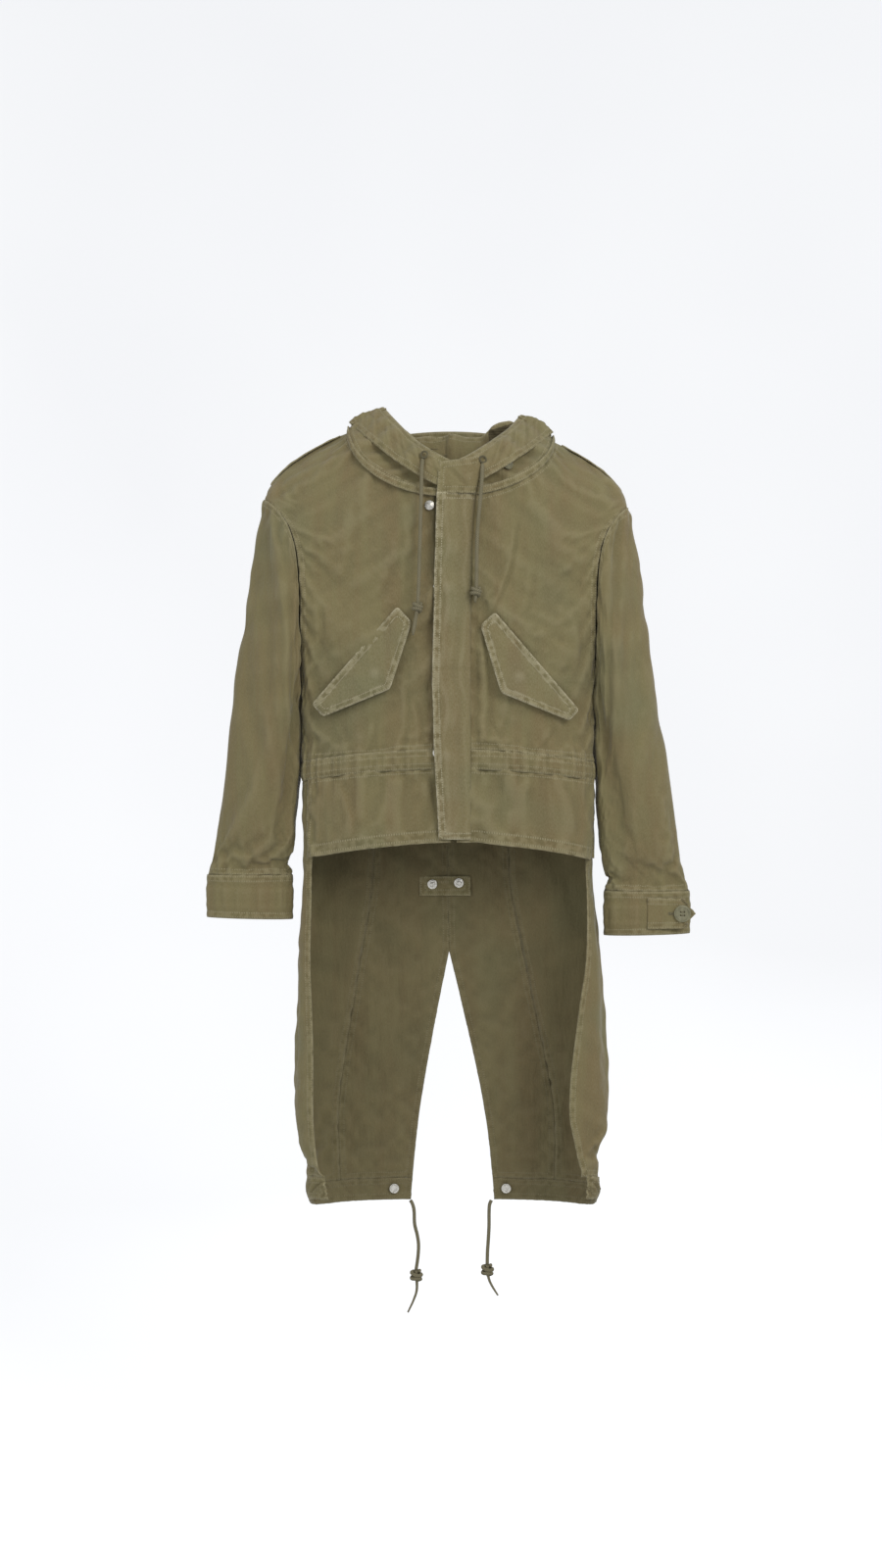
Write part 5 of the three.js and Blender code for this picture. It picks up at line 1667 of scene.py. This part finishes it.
def fastenings():
    strips()
    for side in SIDES:
        name, sign = side["name"], side["sign"]
        base = -1 if name == "left" else 1
        point = 350.0 if name == "left" else 285.0
        x = sign * (point - 19.2 if name == "left" else point + 19.2)
        z = side["cuffZ"] - CUFF_HEIGHT / 2
        y = base * (CUFF_HALF_DEPTH + 4.9)
        body = f"cuff_fastening_{name}"
        button = disc(f"cuff_button_{name}_moulded", (x, y, z), (0, base, 0), 12.0, 2.6,
                      ((2.2, 0.5), (0.8, -0.9)), 40)
        for dx, dz in ((-2.4, -2.4), (2.4, -2.4), (-2.4, 2.4), (2.4, 2.4)):
            drill = add(bpy.ops.mesh.primitive_cylinder_add, "drill", vertices=12, radius=1.25 * MM,
                        depth=12 * MM, location=Vector((x + dx, y, z + dz)) * MM, rotation=(math.pi / 2, 0, 0))
            only(button)
            hole = button.modifiers.new("hole", "BOOLEAN")
            hole.operation = "DIFFERENCE"
            hole.object = drill
            bpy.ops.object.modifier_apply(modifier=hole.name)
            bpy.data.objects.remove(drill)
        settle(button, BUTTON, body, "button", [f"cuff_button_{name}"], 0.35, 3)
        for dz in (-2.4, 2.4):
            sewing(f"cuff_button_{name}_thread_{'low' if dz < 0 else 'high'}",
                   (x - 2.4, y + base * 2.0, z + dz), (x + 2.4, y + base * 2.0, z + dz), base * 0.8, 0.55, body)
        # The buttonhole: a slit worked round with thread.
        slot_x = x - sign * (15 if name == "left" else -15)
        for dz in (-1.1, 1.1):
            sewing(f"cuff_buttonhole_{name}_{'low' if dz < 0 else 'high'}",
                   (slot_x - 5, y + base * 0.3, z + dz), (slot_x + 5, y + base * 0.3, z + dz), base * 0.3, 0.6,
                   body)
    settle(disc("front_stud_pressed", (-26, -70.6, -104), (0, -1, 0), 6.6, 1.0,
                ((1.0, 0.4), (1.4, 0.7), (1.6, 0.3))),
           METAL, "coat", "metal", ["front_stud"], 0.3)
    for number, z in enumerate((-219.0, -447.0)):
        settle(disc(f"fly_stud_{number + 1}", (-14.8, -70.4, z), (0, -1, 0), 6.6, 1.0, ((1.2, 0.4), (1.6, 1.4))),
               METAL, "coat", "metal", [], 0.3)
    tab_y = BACK_DEPTH - 5.6
    for name, (x, z) in {"right": (-22.8, -637.5), "left": (16.2, -635.5)}.items():
        settle(disc(f"tail_stud_{name}_pressed", (x, tab_y - 0.6, z), (0, -1, 0), 7.0, 0.9, STUD_STEPS),
               METAL, "coat", "metal", [f"tail_stud_{name}"], 0.25)
    for name, x in {"right": -79.0, "left": 86.0}.items():
        side = RIGHT if name == "right" else LEFT
        spot = tail_inside(x, -1085.0, 3.6)
        deeper = tail_inside(x, -1085.0, 4.6)
        settle(disc(f"tail_socket_{name}_pressed", spot, deeper - spot, 7.0, 0.9, SOCKET_STEPS),
               METAL, f"tail_leg_{name}", "metal", [f"tail_socket_{name}"], 0.25)
    # A snap covered in cloth on the wearer's left of the hood, and two worked eyelets for its cord.
    settle(disc("hood_snap_covered", (83.0, -56.0, -43.0), (0.55, -0.8, 0.15), 8.6, 1.2,
                ((1.5, 0.7), (1.8, 0.4), (2.5, 0))),
           BUTTON, "coat", "cotton", ["hood_snap"], 0.4, 3)
    for name, spot in {"right": (-33.2, -74.5, -34.5), "left": (48.0, -73.5, -41.0)}.items():
        turn = math.radians(-18 if name == "right" else 18)
        ring = add(bpy.ops.mesh.primitive_torus_add, f"hood_eyelet_{name}_worked", major_radius=4.6 * MM,
                   minor_radius=1.3 * MM, major_segments=28, minor_segments=8, location=Vector(spot) * MM,
                   rotation=(math.radians(80), 0, turn))
        settle(ring, CORD, "coat", "cotton", [f"hood_eyelet_{name}"])
    zip_pieces()


def tail_inside(x, z, inside):
    """A spot on the tail's inner face, standing inside the cloth."""
    side = RIGHT if x < 0 else LEFT
    share = abs(x - float(lean(z))) / float(half_width(z))
    y = (1 - share ** BOXINESS) ** (1 / BOXINESS) * BACK_DEPTH
    out = np.array([np.sign(x) * share ** 2 / half_width(z) * BACK_DEPTH, (y / BACK_DEPTH) ** 2, 0.0])
    out /= np.linalg.norm(out)
    return np.array([x, y, z]) - out * inside


def zip_pieces():
    pitch, low, high = 4.2, -560.0, -100.0
    for side in SIDES:
        name, sign = side["name"], side["sign"]
        start = low + (pitch / 2 if sign > 0 else 0)
        tooth = add_block(f"zip_teeth_{name}", (ZIP_X + sign * 1.2, -66.4, start), (4.2, 2.4, 1.9))
        only(tooth)
        bpy.ops.object.transform_apply(location=True, rotation=True, scale=True)
        row = tooth.modifiers.new("row", "ARRAY")
        row.count = int((high - low) / pitch)
        row.use_relative_offset = False
        row.use_constant_offset = True
        row.constant_offset_displace = (0, 0, pitch * MM)
        bpy.ops.object.modifier_apply(modifier=row.name)
        settle(tooth, METAL, "coat", "metal", [])
    slider = add_block("zip_slider_cast", (ZIP_X, -67.2, -104), (7.6, 4.6, 14))
    for face in slider.data.polygons:
        face.select = face.normal.z < -0.9
    bpy.ops.object.mode_set(mode="EDIT")
    bpy.ops.transform.resize(value=(0.72, 1, 1), center_override=Vector((ZIP_X, -67.2, -111)) * MM)
    bpy.ops.object.mode_set(mode="OBJECT")
    settle(slider, METAL, "slider", "metal", ["zip_slider"], 0.8, 3)
    pull = add_block("zip_pull_cast", (ZIP_X, -70.4, -120), (5, 1.1, 28))
    for face in pull.data.polygons:
        face.select = abs(face.normal.y) > 0.9
    bpy.ops.object.mode_set(mode="EDIT")
    bpy.ops.mesh.inset(thickness=1.1 * MM, depth=-0.25 * MM)
    bpy.ops.object.mode_set(mode="OBJECT")
    settle(pull, METAL, "slider", "metal", ["zip_pull"], 0.3)


# ---- build --------------------------------------------------------------------------------------------
body_panels()
tail_panels()
hood()
storm_flap()
pocket_flaps()
plan_sleeves()
fastenings()
simulate_all()
for piece in pieces:
    if not piece["tube"]:
        finish_cloth(piece)
sleeves()

new_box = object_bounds()
